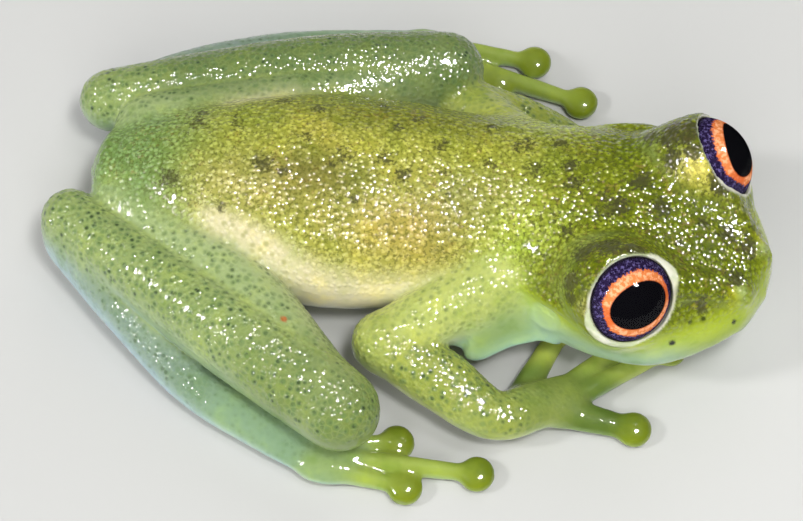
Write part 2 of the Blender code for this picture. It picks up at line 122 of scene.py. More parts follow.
def spine(s):
    """Places on the spine and the way forward there, seen from above."""
    s = np.atleast_1d(np.asarray(s, float))
    head_ahead = np.array((math.cos(HEAD_TURN), math.sin(HEAD_TURN)))
    inner = np.minimum(s, NECK)
    place = flow(inner, SPINE_AT, SPINE_PLACES)
    place = place + np.maximum(s - NECK, 0.0)[:, None] * head_ahead
    after = flow(np.minimum(inner + SPINE_STEP, NECK), SPINE_AT, SPINE_PLACES)
    before = flow(np.maximum(inner - SPINE_STEP, 0.0), SPINE_AT, SPINE_PLACES)
    share = np.clip((s - SPINE_AT[-2]) / (NECK - SPINE_AT[-2]), 0.0, 1.0)[:, None]
    return place, unit(unit(after - before) * (1 - share) + head_ahead * share)


def on_body(s, left, height):
    """A point beside the spine: distance from the vent, to the left, height."""
    place, ahead = spine(s)
    return np.array(
        (place[0, 0] - left * ahead[0, 1], place[0, 1] + left * ahead[0, 0], height)
    )


def loft(rings, first_tip, last_tip):
    """A closed form through rings of points, drawn to a point at each end."""
    count, around = rings.shape[:2]
    points = np.concatenate([rings.reshape(-1, 3), [first_tip], [last_tip]])
    i, k = np.meshgrid(np.arange(count - 1), np.arange(around), indexing="ij")
    start = i * around + k
    after = i * around + (k + 1) % around
    quads = np.stack([start, after, after + around, start + around], -1).reshape(-1, 4)
    ring = np.arange(around)
    beside = (ring + 1) % around
    last = (count - 1) * around
    first_fan = np.stack([beside, ring, np.full(around, count * around)], -1)
    last_fan = np.stack([ring + last, beside + last, np.full(around, count * around + 1)], -1)
    return points, quads, np.concatenate([first_fan, last_fan])


def body_form():
    share = np.linspace(0.0, 1.0, BODY_RINGS)
    s = SNOUT_VENT * (0.5 - 0.5 * np.cos(np.pi * share))
    wide, low, side, top, square = flow(s, SECTIONS[:, 0], SECTIONS[:, 1:]).T[:, :, None]
    angle = 2 * np.pi * np.arange(BODY_AROUND) / BODY_AROUND
    across = np.sign(np.cos(angle)) * np.abs(np.cos(angle)) ** (2 / square)
    rise = np.sign(np.sin(angle)) * np.abs(np.sin(angle)) ** (2 / square)
    height = side + rise * np.where(rise > 0, top - side, side - low)
    place, ahead = spine(s)
    left = -across * np.maximum(wide, 0.1)
    x = place[:, :1] - left * ahead[:, 1:]
    y = place[:, 1:] + left * ahead[:, :1]
    rings = np.stack([x, y, height], -1)
    vent = on_body(0.0, 0.0, SECTIONS[0, 3]) - (END_POINT, 0.0, 0.0)
    snout = on_body(SNOUT_VENT + END_POINT, 0.0, SECTIONS[-1, 3])
    return loft(rings, vent, snout)


# Flesh: all the forms of the body are joined in one field of distances, cut in small cubes, so that
# limbs grow out of the trunk with a fillet and press against it with a crease.
GRAIN = 0.115
REACH = 10
BAND = GRAIN * REACH
FIELD_LOW = np.floor(np.array((-20.8, -16.3, -1.4)) / GRAIN).astype(int)
FIELD_HIGH = np.ceil(np.array((20.8, 16.3, 11.8)) / GRAIN).astype(int)
flesh = np.full(FIELD_HIGH - FIELD_LOW, BAND, np.float32)
forms = {}


def form(name, points, quads=None, triangles=None):
    """Distances to a closed mesh, in the box of cubes round it. They're kept by name."""
    points = np.ascontiguousarray(points, np.float32)
    grid = vdb.FloatGrid.createLevelSetFromPolygons(
        points,
        triangles=None if triangles is None else np.ascontiguousarray(triangles, np.uint32),
        quads=None if quads is None else np.ascontiguousarray(quads, np.uint32),
        transform=vdb.createLinearTransform(voxelSize=GRAIN),
        halfWidth=REACH,
    )
    low = np.maximum(np.floor(points.min(0) / GRAIN).astype(int) - REACH, FIELD_LOW)
    high = np.minimum(np.ceil(points.max(0) / GRAIN).astype(int) + REACH, FIELD_HIGH)
    values = np.empty(high - low, np.float32)
    grid.copyToArray(values, ijk=tuple(int(v) for v in low))
    forms[name] = (low, values)
    return name


def cube_places(low, shape):
    """Millimetre places of the cubes of a box, as three arrays that broadcast."""
    axes = [(np.arange(n) + a) * GRAIN for a, n in zip(low, shape)]
    return np.meshgrid(*axes, indexing="ij", sparse=True)


def nearness(low, shape, place, reach):
    """One at a place, falling softly to nothing past the reach."""
    x, y, z = cube_places(low, shape)
    apart = (x - place[0]) ** 2 + (y - place[1]) ** 2 + (z - place[2]) ** 2
    return np.exp(-apart / reach**2)


def join(name, crease=0.2, fillets=()):
    """Adds a form to the flesh, with a crease, or with wide fillets near the given places."""
    low, values = forms[name]
    soft = np.full(values.shape, crease, np.float32)
    for place, reach, width in fillets:
        soft = soft + (width - crease) * nearness(low, values.shape, place, reach)
    box = tuple(slice(a, a + n) for a, n in zip(low - FIELD_LOW, values.shape))
    old = flesh[box]
    share = np.clip(0.5 + 0.5 * (old - values) / soft, 0.0, 1.0)
    new = old * (1 - share) + values * share - soft * share * (1 - share)
    flesh[box] = np.where(values < BAND, new, old)


def scoop(name, soft=0.1):
    """Cuts a form out of the flesh, with a rounded edge."""
    low, values = forms[name]
    box = tuple(slice(a, a + n) for a, n in zip(low - FIELD_LOW, values.shape))
    old = flesh[box]
    share = np.clip(0.5 - 0.5 * (old + values) / soft, 0.0, 1.0)
    new = old * (1 - share) - values * share + soft * share * (1 - share)
    flesh[box] = np.where(values < BAND, new, old)


join(form("body", *body_form()))

# Head: lid mounds, the ridge from eye to nostril, the nostril knobs, and the fold over the eardrum
# are soft forms laid on the skull. The eyes stand high and look forward, out and up.
SIDES = (("right", -1), ("left", 1))
EYE_AT = {"right": 31.95, "left": 32.75}
EYE_SIDE = {"right": 4.92, "left": 5.05}
EYE_HEIGHT = {"right": 7.7, "left": 7.6}
EYE_RADIUS = 2.45
EYE_UP = math.radians(35.0)
EYE_FORWARD = math.radians(54.0)
LID_OPENING = 0.66
LID_SETBACK = 0.5
LID_RADIUS = 2.88
LID_ROUNDING = 0.45
BROW_BEHIND = 2.3
BROW_INWARD = 0.75
BROW_DROP = 0.75
BROW_HALVES = (1.9, 1.9, 1.75)
NOSTRIL_AT = 37.05
NOSTRIL_SIDE = 1.25
NOSTRIL_HEIGHT = 6.4
KNOB_DROP = 0.3
KNOB_RADIUS = 0.6
# The ridge from eye to nostril and the fold over the eardrum: distance from the vent, out, height
CANTHUS = ((33.3, 3.3, 7.75), (35.1, 2.35, 7.15), (36.8, 1.4, 6.3))
CANTHUS_WIDTHS = (0.8, 0.7, 0.55)
CANTHUS_HEIGHTS = (0.8, 0.7, 0.5)
EAR_FOLD = ((30.2, 6.1, 6.3), (28.4, 6.0, 6.35), (26.6, 5.45, 5.9), (25.2, 5.0, 5.0))
EAR_FOLD_HALVES = (0.35, 0.42, 0.42, 0.3)


def ball(centre, radii, turn=None, rings=24, around=32):
    """A ball with three half sizes, turned by a rotation matrix."""
    tilt = np.linspace(0, np.pi, rings + 2)[1:-1, None]
    angle = 2 * np.pi * np.arange(around) / around
    x = np.sin(tilt) * np.cos(angle)
    y = np.sin(tilt) * np.sin(angle)
    z = np.cos(tilt) + 0 * angle
    radii = np.broadcast_to(np.asarray(radii, float), 3)
    turn = np.eye(3) if turn is None else np.array(turn)
    rings_of = np.stack([x, y, z], -1) * radii @ turn.T + centre
    tips = [np.array((0, 0, v)) * radii @ turn.T + centre for v in (1.0, -1.0)]
    return loft(rings_of, *tips)


def tube(path, half_widths, half_heights, rings=40, around=32):
    """A round-ended limb along a smooth path, with its width and height at each point."""
    path = np.asarray(path, float)
    knots = np.concatenate([[0.0], np.cumsum(np.linalg.norm(np.diff(path, axis=0), axis=1))])
    at = np.linspace(0.0, knots[-1], rings)
    centre = flow(at, knots, path)
    wide = flow(at, knots, half_widths)
    high = flow(at, knots, half_heights)
    ahead = unit(np.gradient(centre, axis=0))
    caps = np.radians((80.0, 66.0, 50.0, 33.0, 16.0))
    n = len(caps)
    first = centre[0] - ahead[0] * wide[0] * np.sin(caps)[:, None]
    last = centre[-1] + ahead[-1] * wide[-1] * np.sin(caps[::-1])[:, None]
    centre = np.concatenate([first, centre, last])
    ahead = np.concatenate([[ahead[0]] * n, ahead, [ahead[-1]] * n])
    wide = np.concatenate([wide[0] * np.cos(caps), wide, wide[-1] * np.cos(caps[::-1])])
    high = np.concatenate([high[0] * np.cos(caps), high, high[-1] * np.cos(caps[::-1])])
    side = unit(np.cross((0.0, 0.0, 1.0), ahead))
    up = np.cross(ahead, side)
    angle = 2 * np.pi * (np.arange(around) + 0.5) / around
    rings_of = (
        centre[:, None]
        + side[:, None] * (wide[:, None] * np.cos(angle))[..., None]
        + up[:, None] * (high[:, None] * np.sin(angle))[..., None]
    )
    start = centre[n] - ahead[n] * wide[n]
    end = centre[-n - 1] + ahead[-n - 1] * wide[-n - 1]
    return loft(rings_of, start, end)


def eye_centre(word, side):
    return on_body(EYE_AT[word], side * EYE_SIDE[word], EYE_HEIGHT[word])


def eye_axis(side):
    """The way an eye looks."""
    forward = math.cos(EYE_UP) * math.sin(EYE_FORWARD)
    outward = side * math.cos(EYE_UP) * math.cos(EYE_FORWARD)
    turn = np.array(Matrix.Rotation(HEAD_TURN, 3, "Z"))
    return turn @ (forward, outward, math.sin(EYE_UP))


for word, side in SIDES:
    centre = eye_centre(word, side)
    axis = eye_axis(side)
    mound = form("mound_" + word, *ball(centre - LID_SETBACK * axis, LID_RADIUS))
    low, values = forms[mound]
    x, y, z = cube_places(low, values.shape)
    beyond = (x - centre[0]) * axis[0] + (y - centre[1]) * axis[1] + (z - centre[2]) * axis[2]
    beyond = beyond - LID_OPENING
    share = np.clip(0.5 + 0.5 * (beyond - values) / LID_ROUNDING, 0.0, 1.0)
    values[:] = values * (1 - share) + beyond * share + LID_ROUNDING * share * (1 - share)
    join(mound, crease=1.1)
    out = side * (EYE_SIDE[word] - BROW_INWARD)
    brow = on_body(EYE_AT[word] - BROW_BEHIND, out, EYE_HEIGHT[word] - BROW_DROP)
    join(form("brow_" + word, *ball(brow, BROW_HALVES)), crease=1.4)
    ridge = [on_body(s, side * out, height) for s, out, height in CANTHUS]
    join(form("canthus_" + word, *tube(ridge, CANTHUS_WIDTHS, CANTHUS_HEIGHTS)), crease=0.8)
    knob = on_body(NOSTRIL_AT, side * NOSTRIL_SIDE, NOSTRIL_HEIGHT - KNOB_DROP)
    join(form("knob_" + word, *ball(knob, KNOB_RADIUS)), crease=0.6)
    fold = [on_body(s, side * out, height) for s, out, height in EAR_FOLD]
    join(form("ear_fold_" + word, *tube(fold, EAR_FOLD_HALVES, EAR_FOLD_HALVES)), crease=0.6)

# Arms and legs: soft, folded limbs that lie on the floor. Each length is an oval tube through the
# joints. Heel to foot and elbow to palm run on as one tube, and wide fillets near shoulder, hip,
# elbow and knee make one limb of the lengths.
HIP = {"right": (-15.2, 2.5, 3.5), "left": (-15.2, 2.7, 3.5)}
KNEE = {"right": (-1.35, 12.75, 3.8), "left": (-0.3, 9.9, 3.8)}
HEEL = {"right": (-18.3, 3.9, 3.5), "left": (-18.2, 4.3, 3.4)}
ANKLE = {"right": (-9.2, 11.6, 1.2), "left": (-9.6, 10.9, 1.2)}
WEB_EDGE = {"right": (-1.8, 13.5, 0.75), "left": (-1.8, 12.4, 0.75)}
SHOULDER = {"right": (5.4, 3.6, 4.7), "left": (5.9, 4.4, 4.7)}
ELBOW = {"right": (0.0, 7.7, 3.0), "left": (1.4, 8.2, 3.0)}
WRIST = {"right": (7.0, 10.1, 1.7), "left": (7.2, 7.7, 1.7)}
PALM_END = {"right": (9.9, 7.9, 0.85), "left": (10.0, 6.1, 0.85)}
WEB_HALF = 0.7


def between(first, second, share, lift=0.0, outward=0.0):
    """A point part of the way along, raised and pushed outwards."""
    mixed = [a + (b - a) * share for a, b in zip(first, second)]
    return (mixed[0], mixed[1] + outward, mixed[2] + lift)


def limb_shapes(word):
    """Path, half widths and half heights of each length of the limbs of one side."""
    hip, knee, heel = HIP[word], KNEE[word], HEEL[word]
    ankle, web = ANKLE[word], WEB_EDGE[word]
    shoulder, elbow = SHOULDER[word], ELBOW[word]
    wrist, palm = WRIST[word], PALM_END[word]
    under_heel = (heel[0] + 0.1, heel[1] + 0.7, 2.3)
    return {
        "thigh": (
            (hip, between(hip, knee, 0.45, outward=-0.6), between(hip, knee, 0.96)),
            (2.3, 2.5, 2.0),
            (2.3, 2.6, 2.0),
        ),
        "shank": (
            (
                knee,
                between(knee, heel, 0.35, lift=0.3, outward=0.1),
                between(knee, heel, 0.7, lift=0.2, outward=0.1),
                heel,
            ),
            (2.25, 2.35, 2.05, 1.7),
            (2.1, 2.4, 2.2, 1.8),
        ),
        "tarsus": (
            (under_heel, between(under_heel, ankle, 0.5, lift=0.15, outward=0.35), ankle),
            (1.45, 1.35, 1.3),
            (1.7, 1.55, 1.2),
        ),
        "foot": (
            (ankle, between(ankle, web, 0.5, outward=0.35), web),
            (1.3, 1.45, 2.1),
            (1.15, 1.0, WEB_HALF),
        ),
        "upper_arm": (
            (shoulder, between(shoulder, elbow, 0.5), elbow),
            (1.8, 1.8, 1.65),
            (1.8, 1.7, 1.5),
        ),
        "forearm": (
            (elbow, between(elbow, wrist, 0.45, outward=0.1), wrist),
            (1.6, 1.75, 1.4),
            (1.5, 1.55, 1.15),
        ),
        "hand": (
            (wrist, between(wrist, palm, 0.55), palm),
            (1.4, 1.4, 1.4),
            (1.15, 1.0, WEB_HALF),
        ),
    }


def mirrored(point, side):
    """A point given outwards from the midline, put on its side of the frog."""
    return np.array((point[0], side * point[1], point[2]))


LIMB_CREASE = 0.16
LONG_TUBE_RINGS = 60
# Lengths that run on in one tube, and the fillets at the joints: joint, reach and width
RUNS_ON = {"tarsus": "foot", "forearm": "hand"}
JOINTS = {
    "thigh": ((HIP, 3.0, 1.1),),
    "shank": ((KNEE, 2.4, 1.0),),
    "tarsus": ((HEEL, 6.0, 0.9),),
    "upper_arm": ((SHOULDER, 3.2, 1.1),),
    "forearm": ((ELBOW, 2.2, 0.9),),
}
limb_paths = {}
for word, side in SIDES:
    shapes = limb_shapes(word)
    for piece, (path, wide, high) in shapes.items():
        name = f"{piece}_{word}"
        limb_paths[name] = np.array([mirrored(point, side) for point in path])
        form(name, *tube(limb_paths[name], wide, high))
    for piece, joints in JOINTS.items():
        name = f"{piece}_{word}"
        if piece in RUNS_ON:
            path, wide, high = shapes[piece]
            further, more_wide, more_high = shapes[RUNS_ON[piece]]
            path = [mirrored(point, side) for point in (*path, *further[1:])]
            halves = ((*wide, *more_wide[1:]), (*high, *more_high[1:]))
            name = form("whole_" + name, *tube(path, *halves, rings=LONG_TUBE_RINGS))
        fillets = [(mirrored(spot[word], side), reach, width) for spot, reach, width in joints]
        join(name, LIMB_CREASE, fillets)

# Fold between arm and chest: a thin web of skin, drawn tight from elbow to throat, with a small
# rounded tag near the elbow. Its points are shares of the ways from elbow to shoulder and to chest
# on the right side, and the left fold is the same one mirrored and moved to its own arm.
FOLD_EDGE = (
    (-0.24, 0.60, 2.75), (-0.54, 0.89, 2.55), (-0.70, 1.05, 2.35), (-1.06, 1.34, 2.2),
    (-1.20, 1.49, 2.2), (-1.14, 1.53, 2.3), (-1.02, 1.56, 2.45), (-1.08, 1.72, 2.6),
    (-1.16, 1.86, 2.8), (-1.53, 2.22, 3.0),
)
FOLD_ROOT = (
    (0.14, 0.37, 3.6), (0.18, 0.40, 3.9), (0.19, 0.44, 4.3), (0.22, 0.46, 4.6),
    (0.25, 0.49, 4.8), (0.18, 0.60, 4.8), (0.08, 0.78, 4.7), (-0.08, 1.00, 4.4),
    (-0.33, 1.27, 4.1), (-0.82, 1.74, 3.9),
)
FOLD_ALONG = 46
FOLD_ACROSS = 14
FOLD_HALF = 0.26
FOLD_BEAD = 0.27
BEAD_EVERY = 3
FOLD_MOVED = {"right": (0.0, 0.0), "left": (0.9, 0.75)}
elbow = mirrored(ELBOW["right"], -1)
to_shoulder = mirrored(SHOULDER["right"], -1) - elbow
to_chest = on_body(NECK + 2.0, -5.0, 3.0) - elbow
for word, side in SIDES:
    lines = []
    for line in (FOLD_ROOT, FOLD_EDGE):
        line = np.array(line)
        spots = elbow + line[:, :1] * to_shoulder + line[:, 1:2] * to_chest
        spots = spots * (1, -side, 0) + (*FOLD_MOVED[word], 0)
        spots[:, 2] = line[:, 2]
        knots = np.arange(float(len(spots)))
        lines.append(flow(np.linspace(0, knots[-1], FOLD_ALONG), knots, spots))
    u = np.linspace(0.0, 1.0, FOLD_ACROSS)[None, :, None]
    sheet = lines[0][:, None] * (1 - u) + lines[1][:, None] * u
    sheet[..., 2] += (u * (1 - u))[..., 0] * (lines[0] - lines[1])[:, None, 2]
    half = unit(np.cross(np.gradient(sheet, axis=1), np.gradient(sheet, axis=0))) * FOLD_HALF
    rings = np.concatenate([sheet - side * half, (sheet + side * half)[:, ::-1]], axis=1)
    if side > 0:
        rings = rings[:, ::-1]
    join(form("arm_fold_" + word, *loft(rings, rings[0].mean(0), rings[-1].mean(0))), 0.8)
    bead = lines[1][::BEAD_EVERY]
    halves = np.full(len(bead), FOLD_BEAD)
    edge = tube(bead, halves, halves, rings=LONG_TUBE_RINGS, around=16)
    join(form("fold_edge_" + word, *edge), 0.3)

# Toes and fingers: slim, soft digits that end in round grip discs. Thin webs join the toes for a
# third of their length, and the fingers at their roots.
TOE_TIPS = {
    "right": ((-3.4, 10.2), (-1.2, 10.8), (1.7, 12.2), (6.3, 13.2), (2.7, 14.8)),
    "left": ((-3.6, 9.6), (-1.2, 9.9), (2.4, 11.7), (7.3, 11.6), (4.2, 13.8)),
}
FINGER_TIPS = {
    "right": ((9.0, 3.3), (12.8, 3.3), (15.0, 3.4), (14.05, 8.75)),
    "left": ((9.6, 1.5), (12.6, 2.1), (14.9, 3.6), (13.8, 6.6)),
}
TOE_HALF_WIDTHS = (0.55, 0.55, 0.55, 0.58, 0.55)
FINGER_HALF_WIDTHS = (0.74, 0.6, 0.6, 0.82)
# Shares of the half width and half heights along a digit, from root to disc
DIGIT_TAPER = (1.15, 0.9, 0.82, 0.75)
DIGIT_HALF_HEIGHTS = (0.66, 0.56, 0.48, 0.4)
ROOT_HEIGHT = 0.65
NECK_SHARE = 0.62
NECK_HEIGHT = 0.55
DISC_HALVES = (0.96, 1.04, 0.6)
DISC_HEIGHT = 0.44
WEB_HOLLOW = 0.45
WEB_HEIGHT = 0.52
WEB_HALF_THICKNESS = 0.2
# How far out the webs reach, as shares of the digits, from the innermost
WEB_REACH = {"toe": (0.5, 0.5, 0.5, 0.5), "finger": (0.22, 0.8, 0.22)}


def digit_roots(before, centre, tips, spread, setback):
    """Roots side by side across the end of the palm or foot, the inner ones further back."""
    ahead = unit(np.subtract(centre[:2], before[:2]))
    across = np.array((-ahead[1], ahead[0]))
    middle = (len(tips) - 1) / 2
    roots = []
    for k in range(len(tips)):
        inward = max(0.0, middle - k)
        root = centre[:2] + across * (k - middle) * spread - ahead * (inward * setback + 0.3)
        roots.append((root[0], root[1], ROOT_HEIGHT))
    return roots


def digit(name, root, tip, side, slim):
    """A digit that narrows towards its disc, low over the floor."""
    disc = (*tip, DISC_HEIGHT)
    neck = between(root, disc, NECK_SHARE)
    neck = (neck[0], neck[1], NECK_HEIGHT)
    path = (root, neck, between(neck, disc, 0.55), between(neck, disc, 0.86))
    path = [mirrored(point, side) for point in path]
    form(name, *tube(path, [slim * share for share in DIGIT_TAPER], DIGIT_HALF_HEIGHTS))
    ahead = unit(path[-1] - path[0])
    turn = np.stack([ahead, np.cross((0, 0, 1), ahead), (0, 0, 1)], -1)
    end = mirrored(disc, side)
    form(name + "_disc", *ball(end, DISC_HALVES, turn))
    digit_lines[name] = np.array((*path[:3], end))


def web(name, first, second, reach):
    """A thin web between two digits, with a hollow free edge."""
    inner = np.linspace(0.0, reach, 12)
    across = np.linspace(0.0, 1.0, 9)
    lines = [flow(inner, np.linspace(0, 1, 4), line) for line in (first, second)]
    u = across[None, :, None]
    sheet = lines[0][:, None] * (1 - u) + lines[1][:, None] * u
    hollow = 1 - WEB_HOLLOW * (4 * u * (1 - u))
    root = sheet[:1]
    sheet = root + (sheet - root) * hollow
    sheet[..., 2] = WEB_HEIGHT
    half = np.array((0.0, 0.0, WEB_HALF_THICKNESS))
    rings = np.concatenate([sheet + half, sheet[:, ::-1] - half], axis=1)
    form(name, *loft(rings, rings[0].mean(0), rings[-1].mean(0)))


digit_lines = {}
for word, side in SIDES:
    for kind, before, centre, tips, spread, setback, slim in (
        ("toe", ANKLE, WEB_EDGE, TOE_TIPS, 0.62, 0.5, TOE_HALF_WIDTHS),
        ("finger", WRIST, PALM_END, FINGER_TIPS, 0.42, 1.5, FINGER_HALF_WIDTHS),
    ):
        roots = digit_roots(before[word], centre[word], tips[word], spread, setback)
        for k, tip in enumerate(tips[word]):
            name = f"{kind}_{word}_{k + 1}"
            digit(name, roots[k], tip, side, slim[k])
            join(name, 0.3, [(mirrored(roots[k], side), 1.6, 0.8)])
            join(name + "_disc", 0.35)
        for k, reach in enumerate(WEB_REACH[kind]):
            pair = [digit_lines[f"{kind}_{word}_{n}"] for n in (k + 1, k + 2)]
            web(f"{kind}_web_{word}_{k + 1}", *pair, reach)
            join(f"{kind}_web_{word}_{k + 1}", 0.25)

# Sockets: the eyeballs sit in the flesh with a hair of room, and the nostrils are small pits.
SOCKET_ROOM = 0.02
PIT_AHEAD = 0.45
PIT_OUT = 0.28
PIT_RADIUS = 0.2
for word, side in SIDES:
    scoop(form("socket_" + word, *ball(eye_centre(word, side), EYE_RADIUS + SOCKET_ROOM)))
    pit = on_body(NOSTRIL_AT + PIT_AHEAD, side * (NOSTRIL_SIDE + PIT_OUT), NOSTRIL_HEIGHT)
    scoop(form("nostril_" + word, *ball(pit, PIT_RADIUS, rings=12, around=16)))

# Skin: one thin wet hide over all of the flesh, with no seam. It is meshed from the field, smoothed
# without shrinking, painted, creased at the mouth, and last raised with granules.
SMOOTHINGS = 4
LET_GO = 0.5
TAKE_BACK = -0.52
grid = vdb.FloatGrid(BAND)
grid.copyFromArray(flesh, ijk=tuple(int(v) for v in FIELD_LOW))
places, _, skin_quads = grid.convertToPolygons(isovalue=0.0, adaptivity=0.0)
places = places.astype(float) * GRAIN
skin_quads = skin_quads.astype(int)
edges = np.concatenate([skin_quads[:, [k, (k + 1) % 4]] for k in range(4)])
joined = np.bincount(edges.ravel(), minlength=len(places)).astype(float)


def relaxed(values, amount):
    """Each vertex's value moved towards the mean of its neighbours."""
    total = np.zeros_like(values)
    for axis in range(values.shape[1]):
        total[:, axis] = np.bincount(edges[:, 0], values[edges[:, 1], axis], len(values))
        total[:, axis] += np.bincount(edges[:, 1], values[edges[:, 0], axis], len(values))
    return values + amount * (total / np.maximum(joined, 1)[:, None] - values)


for _ in range(SMOOTHINGS):
    places = relaxed(relaxed(places, LET_GO), TAKE_BACK)
skin_mesh = bpy.data.meshes.new("frog_skin")
skin_mesh.from_pydata(places.tolist(), [], skin_quads.tolist())
outward = np.empty(len(places) * 3, np.float32)
skin_mesh.vertex_normals.foreach_get("vector", outward)
outward = outward.reshape(-1, 3).astype(float)

# Which part each vertex lies on: its distance to each form, and its place along and beside the spine
LIMB_KINDS = ("thigh", "shank", "tarsus", "foot", "upper_arm", "forearm", "hand", "toe", "finger")
FORM_STARTS = LIMB_KINDS + ("arm_fold", "fold_edge")
KIND_BLEND = 0.26
KIND_FADE = 0.02


def apart_from(name):
    """The distance of each vertex to a form, up to the width of the band round it."""
    low, values = forms[name]
    at = places / GRAIN - low
    inside = ((at >= 0) & (at < np.array(values.shape) - 1)).all(1)
    found = np.full(len(places), BAND)
    at = at[inside]
    i, j, k = at.astype(int).T
    fx, fy, fz = (at - at.astype(int)).T
    total = 0
    for dx, wx in ((0, 1 - fx), (1, fx)):
        for dy, wy in ((0, 1 - fy), (1, fy)):
            for dz, wz in ((0, 1 - fz), (1, fz)):
                total = total + values[i + dx, j + dy, k + dz] * wx * wy * wz
    found[inside] = total
    return found


def kind_of(name):
    if name.startswith(("whole_", "socket_", "nostril_")):
        return None
    if name.endswith("_disc"):
        return "disc"
    if "_web_" in name:
        return "web"
    for kind in FORM_STARTS:
        if name.startswith(kind + "_"):
            return kind
    return "body"


near = {}
for name in forms:
    kind = kind_of(name)
    if kind is not None:
        near[kind] = np.minimum(near.get(kind, BAND), apart_from(name))
closest = np.min(list(near.values()), axis=0)
weights = {}
for kind, distance in near.items():
    share = np.exp(-(distance - closest) / KIND_BLEND) - KIND_FADE
    weights[kind] = np.maximum(share, 0.0)
total = sum(weights.values())
weights = {kind: share / total for kind, share in weights.items()}

spine_s = np.arange(0.0, SNOUT_VENT, 0.1)
spine_places, spine_ahead = spine(spine_s)
nearest = np.empty(len(places), int)
for some in np.array_split(np.arange(len(places)), 30):
    part = places[some, None, :2] - spine_places[None]
    nearest[some] = (part**2).sum(-1).argmin(1)
away = places[:, :2] - spine_places[nearest]
body_s = spine_s[nearest] + (away * spine_ahead[nearest]).sum(1)
body_left = away[:, 1] * spine_ahead[nearest, 0] - away[:, 0] * spine_ahead[nearest, 1]
height = places[:, 2]
facing_up = outward[:, 2]
half_width = flow(body_s, SECTIONS[:, 0], SECTIONS[:, 1])
across = np.abs(body_left) / np.maximum(half_width, 0.5)


def soft_step(values, low, high):
    t = np.clip((values - low) / (high - low), 0.0, 1.0)
    return t * t * (3 - 2 * t)


on_head = weights["body"] * soft_step(body_s, NECK - 1.5, NECK + 2.5)
on_trunk = weights["body"] - on_head

# Colours of the living skin under white light: a thin green hide over pale flesh. The trunk is
# ochre green above with cream flanks, the head olive with a green lip, the limbs bluer beneath.
# Painted shade darkens the far leg, the far arm and, in part, the far back; painted light lifts the
# inner fingers.
LIMB_COLOURS = {
    "thigh": ((0.335, 0.415, 0.185), (0.370, 0.500, 0.360)),
    "shank": ((0.250, 0.325, 0.112), (0.255, 0.350, 0.200)),
    "tarsus": ((0.205, 0.285, 0.225), (0.300, 0.440, 0.480)),
    "foot": ((0.210, 0.320, 0.190), (0.330, 0.470, 0.420)),
    "upper_arm": ((0.450, 0.500, 0.145), (0.430, 0.520, 0.250)),
    "forearm": ((0.290, 0.335, 0.065), (0.340, 0.400, 0.130)),
    "hand": ((0.240, 0.295, 0.070), (0.290, 0.370, 0.120)),
    "arm_fold": ((0.240, 0.330, 0.080), (0.270, 0.440, 0.300)),
    "fold_edge": ((0.340, 0.540, 0.430), (0.360, 0.580, 0.500)),
    "toe": ((0.290, 0.370, 0.060), (0.320, 0.430, 0.140)),
    "finger": ((0.090, 0.145, 0.020), (0.150, 0.230, 0.060)),
    "disc": ((0.165, 0.215, 0.008), (0.220, 0.290, 0.050)),
    "web": ((0.270, 0.360, 0.085), (0.300, 0.450, 0.260)),
}
# Painted shade: the far leg is painted darker above, away from its heel
FAR_LEG = {"thigh": 0.55, "shank": 0.85}
FAR_LEG_SHADE_GREEN = (0.105, 0.155, 0.045)
# Painted shade: the far arm is painted a darker green
FAR_ARM_SHADE_GREEN = (0.230, 0.270, 0.020)
KNEE_GREEN = (0.145, 0.200, 0.046)
# Painted light: the inner fingers, in shade under the head, are painted lighter
INNER_FINGER_PAINTED_LIGHT = (0.380, 0.450, 0.085)
EARDRUM_GREEN = (0.400, 0.560, 0.250)
BACK = (0.440, 0.470, 0.085)
RUMP = (0.220, 0.350, 0.115)
FLANK = (0.710, 0.645, 0.410)
NECK_SIDE = (0.510, 0.660, 0.115)
BELLY = (0.820, 0.810, 0.600)
HEAD_TOP = (0.185, 0.232, 0.002)
CHEEK = (0.420, 0.520, 0.040)
CHEEK_FRONT = (0.350, 0.445, 0.020)
LIP = (0.290, 0.420, 0.270)
LIP_FRONT = (0.210, 0.300, 0.040)
THROAT = (0.460, 0.620, 0.400)
# Where the cream flank begins: distance from the vent, and the share of the half width
FLANK_EDGE = ((7.5, 10.0, 12.0, 13.5, 17.0), (0.59, 0.66, 0.77, 0.87, 0.93))
FAR_FLANK_LOWER = 0.12
